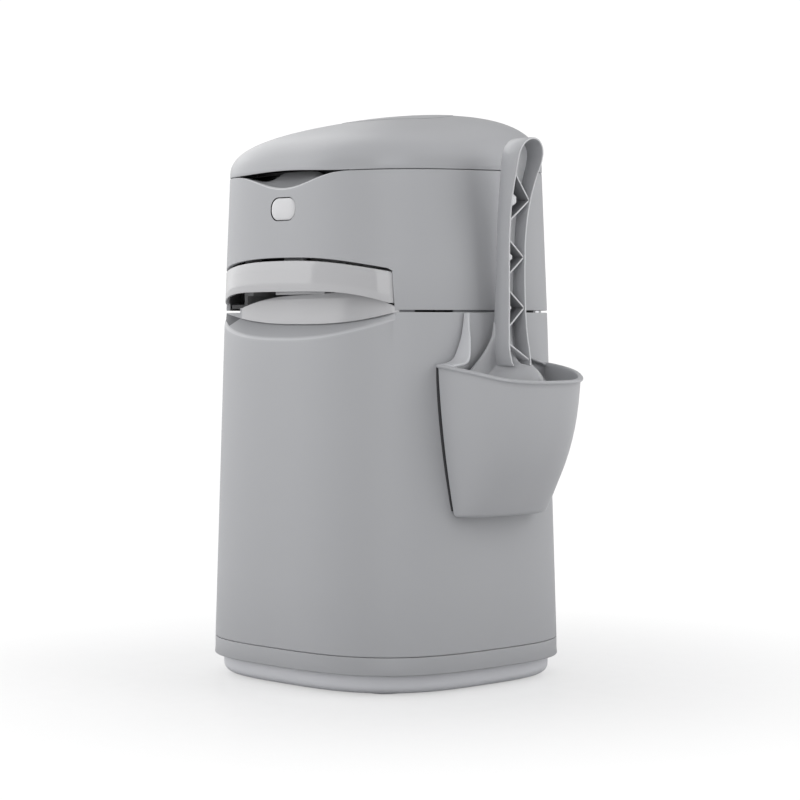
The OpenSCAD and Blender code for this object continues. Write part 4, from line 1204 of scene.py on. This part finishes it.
def bowl_point(u, z, inset):
    """Point of the shell at u, from -1 to 1 across its width."""
    half, depth = bowl_half(z) - inset, max(0.5, bowl_depth(z) - inset)
    bulge = depth * max(0.0, 1 - abs(u) ** 2.8) ** (1 / 2.8)
    if z > 213.9:
        reach = min(1.0, abs(half * u) / ridge_half(z))
        thin = max(0.5, 3.2 - inset) * max(0.0, 1 - abs(u) ** 3.2) ** (1 / 3.2)
        thin += max(0.0, ridge_depth(z) - inset) * math.cos(math.pi / 2 * reach) ** 1.2
        share = smoothstep((226 - z) / 12)
        bulge = bulge * share + thin * (1 - share)
    return (BOWL_X + bulge, SCOOP_Y + half * u, z)


def in_slot(across, z):
    slot = round(across / SLOT_PITCH)
    offset = abs(across - SLOT_PITCH * slot)
    if abs(slot) > SLOT_REACH or offset > SLOT_HALF:
        return False
    short = 1.5 if offset > SLOT_INNER else 0.0
    return 146 + 2 * abs(slot) + short < z < 212 - 3 * abs(slot) - short


def build_bowl():
    """Slotted shell, open towards the pail."""
    us = mirrored(0.87, 0.92, 0.96, 0.985, 1.0)
    for slot in range(-SLOT_REACH, SLOT_REACH + 1):
        for offset in (-SLOT_HALF, -SLOT_INNER, 0.0, SLOT_INNER, SLOT_HALF, SLOT_PITCH / 2):
            us.append((SLOT_PITCH * slot + offset) / BOWL_HALF)
    us.sort()
    zs = steps(BOWL_BOTTOM, BOWL_TOP, 88)
    verts = [bowl_point(u, z, 0.0) for z in zs for u in us]
    # the inner skin starts higher, which leaves a floor
    verts += [bowl_point(u, z + (1.6 if z < 136 else 0), BOWL_WALL) for z in zs for u in us]

    row, inner = len(us), len(us) * len(zs)
    solid = set()
    for j in range(len(zs) - 1):
        for i in range(row - 1):
            if not in_slot((us[i] + us[i + 1]) / 2 * BOWL_HALF, (zs[j] + zs[j + 1]) / 2):
                solid.add((i, j))
    cells = sorted(solid, key=lambda cell: (cell[1], cell[0]))
    faces = []
    for i, j in cells:
        a = j * row + i
        faces.append((a, a + 1, a + row + 1, a + row))
        faces.append((inner + a, inner + a + row, inner + a + row + 1, inner + a + 1))
    # walls wherever a cell borders a slot or the shell's edge
    for i, j in cells:
        a = j * row + i
        for p, q, neighbour in ((a, a + row, (i - 1, j)), (a + 1, a + row + 1, (i + 1, j)),
                                (a, a + 1, (i, j - 1)), (a + row, a + row + 1, (i, j + 1))):
            if neighbour not in solid:
                faces.append((p, q, inner + q, inner + p))
    return build("bowl", verts, faces, [SCOOP], None, 62)


def build_scoop():
    loop_half = channel_half(LOOP_Z)
    parts = [build_channel_wall(loop_half), build_channel_web(loop_half)]
    for upper, middle, lower in RIB_PAIRS:
        parts.append(build_rib(upper, middle, side=-1, dark=-1))
        parts.append(build_rib(middle, lower, side=1, dark=1))
        parts.append(build_shaded_web(upper, middle, lower))
    parts.append(build_rib(250.8, 238.5, side=-1))
    for (_, middle, _), (width, half) in zip(RIB_PAIRS, NUBS):
        parts.append(build_nub(middle, width, half))
    parts.append(build_bowl())
    scoop = join("slotted_scoop", parts, 50)
    register(scoop, "scoop", replaces="scoop")


# ------------------------------------------------------------------ latch spring
SPRING_Y = -78.4        # fixed end; the coil runs from here towards the front
SPRING_Z = 342.5


def build_spring(radius=2.9, wire=0.42, pitch=1.1, turns=5, per_turn=24, wire_sides=8):
    sections = []
    for i in range(turns * per_turn + 1):
        t = 2 * math.pi * i / per_turn
        y = SPRING_Y - pitch * i / per_turn
        section = []
        for a in full_turn(wire_sides):
            reach = radius + wire * math.cos(a)
            section.append((reach * math.cos(t), y + wire * math.sin(a),
                            SPRING_Z + reach * math.sin(t)))
        sections.append(section)
    spring = stack("coil", sections, [PIN], sharp=60)
    spring.name = "return_spring"
    register(spring, "head", replaces="latch_spring")
    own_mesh(spring)


# ------------------------------------------------------------------ film bag
BAG_BOTTOM = 26
BAG_TOP = 250
BAG_LIMIT = 0.0765      # largest radius after the cloth run, metres
BAG_SHIFT = 0.006       # largest move in the cloth run, metres
CLOTH_FRAMES = 16
# z stations, radius
bag_radius = smooth_curve([26, 32, 42, 50, 66, 88, 115, 140, 165, 188, 205, 250],
                          [2.5, 4.5, 12, 32, 56, 68, 72, 69, 62, 52, 49.6, 50.4])


def bag_mesh(count=120, rows=70):
    """Creased bag, open at the top."""
    verts, faces = [], []
    for z in steps(BAG_BOTTOM, BAG_TOP, rows):
        low = smoothstep((60 - z) / 30)
        crease = smoothstep((205 - z) / 60) * (
            0.35 + 0.65 * smoothstep((z - 30) / 60) + 0.6 * low)
        for a in full_turn(count):
            radius = bag_radius(z) * (1 + crease * (
                0.035 * math.sin(11 * a + 0.02 * z)
                + 0.022 * math.sin(17 * a - 0.035 * z + 1.3)
                + 0.012 * math.sin(29 * a + 0.05 * z)))
            verts.append((radius * math.cos(a), radius * math.sin(a),
                          z + 1.2 * math.sin(5 * a) * low))
    for j in range(rows):
        for i in range(count):
            k = (i + 1) % count
            faces.append((j * count + i, j * count + k,
                          (j + 1) * count + k, (j + 1) * count + i))
    verts.append((0, 0, 24.5))
    for i in range(count):
        faces.append((i, (i + 1) % count, len(verts) - 1))
    return build("film_liner", verts, faces, [FILM], None, 80)


def settle_bag(bag):
    """Slackens the bag in a short cloth run, held at its mouth and its foot."""
    rest = [v.co.copy() for v in bag.data.vertices]
    pins = bag.vertex_groups.new(name="pin")
    for v in bag.data.vertices:
        z = v.co.z * 1000
        pins.add([v.index], 1.0 if z > 232 or z < 30 else 0.0, "REPLACE")
    cloth = bag.modifiers.new("cloth", "CLOTH")
    settings = cloth.settings
    settings.quality = 6
    settings.mass = 0.05
    settings.tension_stiffness = 12
    settings.compression_stiffness = 12
    settings.shear_stiffness = 4
    settings.bending_stiffness = 0.05
    settings.use_pressure = True
    settings.uniform_pressure_force = 1.2
    settings.vertex_group_mass = "pin"
    settings.effector_weights.gravity = 0.4
    cloth.collision_settings.use_self_collision = False
    cloth.collision_settings.use_collision = False
    for number in range(1, CLOTH_FRAMES + 1):
        SCENE.frame_set(number)
    graph = bpy.context.evaluated_depsgraph_get()
    mesh = bag.evaluated_get(graph).to_mesh()
    moved = [v.co.copy() for v in mesh.vertices]
    bag.evaluated_get(graph).to_mesh_clear()
    bag.modifiers.remove(cloth)
    SCENE.frame_set(1)
    for v, start, end in zip(bag.data.vertices, rest, moved):
        shift = end - start
        if shift.length > BAG_SHIFT:
            shift = shift.normalized() * BAG_SHIFT
        v.co = start + shift
        radius = math.hypot(v.co.x, v.co.y)
        if radius > BAG_LIMIT:
            v.co.x *= BAG_LIMIT / radius
            v.co.y *= BAG_LIMIT / radius


def build_bag():
    bag = bag_mesh()
    settle_bag(bag)
    film = bag.modifiers.new("film", "SOLIDIFY")
    film.thickness = 0.0002
    film.offset = -1
    subdivision = bag.modifiers.new("sub", "SUBSURF")
    subdivision.levels = 1
    subdivision.render_levels = 1
    bake(bag)
    bag.data.polygons.foreach_set("use_smooth", [True] * len(bag.data.polygons))
    register(bag, "pail", replaces="film_bag")


# ------------------------------------------------------------------ floor, metres
FLOOR_HALF = 40.0
FLOOR_WHITE = (0.88, 0.88, 0.885, 1)
FLOOR_BOUNCE = (0.55, 0.55, 0.555, 1)   # colour met by all but camera rays


def floor_material():
    """Pale sheet that fades to plain white away from the pail."""
    material = bpy.data.materials.new("floor_pale")
    material.use_nodes = True
    tree = material.node_tree
    surface = tree.nodes["Principled BSDF"]
    surface.inputs["Base Color"].default_value = FLOOR_WHITE
    surface.inputs["Specular IOR Level"].default_value = 0.3
    place = add_node(tree, "ShaderNodeTexCoord").outputs["Object"]
    noise = add_node(tree, "ShaderNodeTexNoise", {"Vector": place, "Scale": 60})
    rough = map_range(tree, noise.outputs["Fac"], to_min=0.22, to_max=0.28)
    tree.links.new(rough, surface.inputs["Roughness"])
    distance = add_node(tree, "ShaderNodeVectorMath", {0: place},
                        operation="LENGTH").outputs["Value"]
    fade = map_range(tree, distance, from_min=0.12, from_max=0.55, to_min=0.5, to_max=1.0,
                     interpolation_type="SMOOTHSTEP")
    # light the floor sends back to the pail grows with distance
    back = map_range(tree, distance, from_min=0.22, from_max=1.2, to_min=0.0, to_max=0.66)
    camera_ray = add_node(tree, "ShaderNodeLightPath").outputs["Is Camera Ray"]
    # inputs 2 and 3 are the plain values of a Mix node
    glow = add_node(tree, "ShaderNodeMix", {0: camera_ray, 2: back, 3: fade}).outputs[0]
    color = mix_colors(tree, camera_ray, FLOOR_BOUNCE, FLOOR_WHITE)
    tree.links.new(color, surface.inputs["Base Color"])
    white = add_node(tree, "ShaderNodeEmission", {"Color": (1, 1, 1, 1), "Strength": 1.04})
    mixed = add_node(tree, "ShaderNodeMixShader",
                     {0: glow, 1: surface.outputs[0], 2: white.outputs[0]})
    tree.links.new(mixed.outputs[0], tree.nodes["Material Output"].inputs["Surface"])
    return material


def build_floor():
    mesh = bpy.data.meshes.new("floor")
    s = FLOOR_HALF
    mesh.from_pydata([(-s, -s, 0), (s, -s, 0), (s, s, 0), (-s, s, 0)], [], [(0, 1, 2, 3)])
    floor = add_object("floor", mesh)
    floor.location.z = -0.0004
    mesh.materials.append(floor_material())


# ------------------------------------------------------------------ world
# studio panels: (degrees from the front towards +X, brightness)
DIFFUSE_PANELS = [(-180, 1.0), (-150, 1.65), (-70, 1.7), (-45, 1.15), (0, 1.22), (22, 1.85),
                  (45, 2.2), (53, 0.12), (102, 0.05), (109, 2.75), (140, 2.6), (152, 0.5),
                  (180, 1.0)]
GLOSSY_PANELS = [(-180, 0.4), (-131, 0.4), (-121, 0.9), (-112, 0.95), (-90, 1.9), (-40, 2.0),
                 (-38.5, 0.25), (31, 0.25), (32.5, 2.2), (62, 2.1), (80, 0.2), (125, 0.2),
                 (138, 1.6), (180, 1.5)]
WORLD_STRENGTH = 4      # colours are stored divided by this, so that they stay below 1


def panels(tree, azimuth, height, stops, ceiling, ceiling_start, ceiling_full):
    """Panels round the horizon that fade upwards into an even ceiling."""
    ramp = add_node(tree, "ShaderNodeValToRGB", {0: azimuth})
    elements = ramp.color_ramp.elements
    while len(elements) > 1:
        elements.remove(elements[-1])
    for k, (degrees, brightness) in enumerate(stops):
        position = (degrees + 180) / 360
        if k == 0:
            element = elements[0]
            element.position = position
        else:
            element = elements.new(position)
        element.color = (*[brightness / WORLD_STRENGTH] * 3, 1)
    up = map_range(tree, height, from_min=ceiling_start, from_max=ceiling_full)
    level = ceiling / WORLD_STRENGTH
    return mix_colors(tree, up, ramp.outputs[0], (level, level, level * 1.005, 1))


def build_world():
    world = bpy.data.worlds.new("studio")
    SCENE.world = world
    world.use_nodes = True
    tree = world.node_tree
    tree.nodes.clear()
    direction = add_node(tree, "ShaderNodeTexCoord").outputs["Generated"]
    axes = add_node(tree, "ShaderNodeSeparateXYZ", {0: direction}).outputs
    forward = add_node(tree, "ShaderNodeMath", {0: axes["Y"], 1: -1}, operation="MULTIPLY")
    angle = add_node(tree, "ShaderNodeMath", {0: axes["X"], 1: forward.outputs[0]},
                     operation="ARCTAN2")
    azimuth = map_range(tree, angle.outputs[0], from_min=-math.pi, from_max=math.pi)
    diffuse = panels(tree, azimuth, axes["Z"], DIFFUSE_PANELS,
                     ceiling=0.62, ceiling_start=0.6, ceiling_full=0.85)
    glossy = panels(tree, azimuth, axes["Z"], GLOSSY_PANELS,
                    ceiling=0.9, ceiling_start=0.5, ceiling_full=0.8)
    rays = add_node(tree, "ShaderNodeLightPath").outputs
    color = mix_colors(tree, rays["Is Glossy Ray"], diffuse, glossy)
    backdrop = (0.2625, 0.2625, 0.2625, 1)
    color = mix_colors(tree, rays["Is Camera Ray"], color, backdrop)
    background = add_node(tree, "ShaderNodeBackground",
                          {"Color": color, "Strength": WORLD_STRENGTH})
    add_node(tree, "ShaderNodeOutputWorld", {0: background.outputs[0]})


# ------------------------------------------------------------------ lights and camera, metres
def add_light(name, location, target, size, power, size_y=None, diffuse=True):
    light = bpy.data.lights.new(name, "AREA")
    light.energy = power
    light.size = size
    if size_y:
        light.shape = "RECTANGLE"
        light.size_y = size_y
    obj = add_object(name, light)
    obj.location = location
    aim = Vector(target) - Vector(location)
    obj.rotation_euler = aim.to_track_quat("-Z", "Y").to_euler()
    obj.visible_camera = False
    if not diffuse:
        obj.visible_diffuse = False


CAMERA_AZIMUTH = math.radians(46.0957)  # from the front towards +X
CAMERA_DISTANCE = 1.81515               # from the Z axis
CAMERA_HEIGHT = 0.26603


def add_camera():
    camera = bpy.data.cameras.new("camera")
    camera.sensor_width = 36
    camera.lens = 107.06
    camera.shift_x = 0.01791
    camera.shift_y = -0.0974
    camera.clip_start = 0.05
    camera.clip_end = 100
    obj = add_object("camera", camera)
    x, y = math.sin(CAMERA_AZIMUTH), -math.cos(CAMERA_AZIMUTH)
    obj.location = (CAMERA_DISTANCE * x, CAMERA_DISTANCE * y, CAMERA_HEIGHT)
    obj.rotation_euler = Vector((-x, -y, 0)).to_track_quat("-Z", "Y").to_euler()
    SCENE.camera = obj


# ------------------------------------------------------------------ everything in order
dress_cad_pieces()
build_pail()
build_seam_lips()
build_base()
build_head()
build_button()
build_recess()
build_handle()
build_lid()
build_lid_panel()
build_holder()
build_scoop()
build_spring()
build_bag()
build_floor()
build_world()
add_light("top_soft", location=(-1.2, 0.3, 1.3), target=(0, 0, 0.35), size=1.0, power=1.6)
add_light("back_top", location=(-2.2, 0.75, 1.25), target=(0, 0, 0.38), size=2.0, size_y=1.0,
          power=2.3, diffuse=False)
SCENE.view_settings.view_transform = "Standard"
SCENE.view_settings.look = "None"
SCENE.view_settings.exposure = 0.0
add_camera()
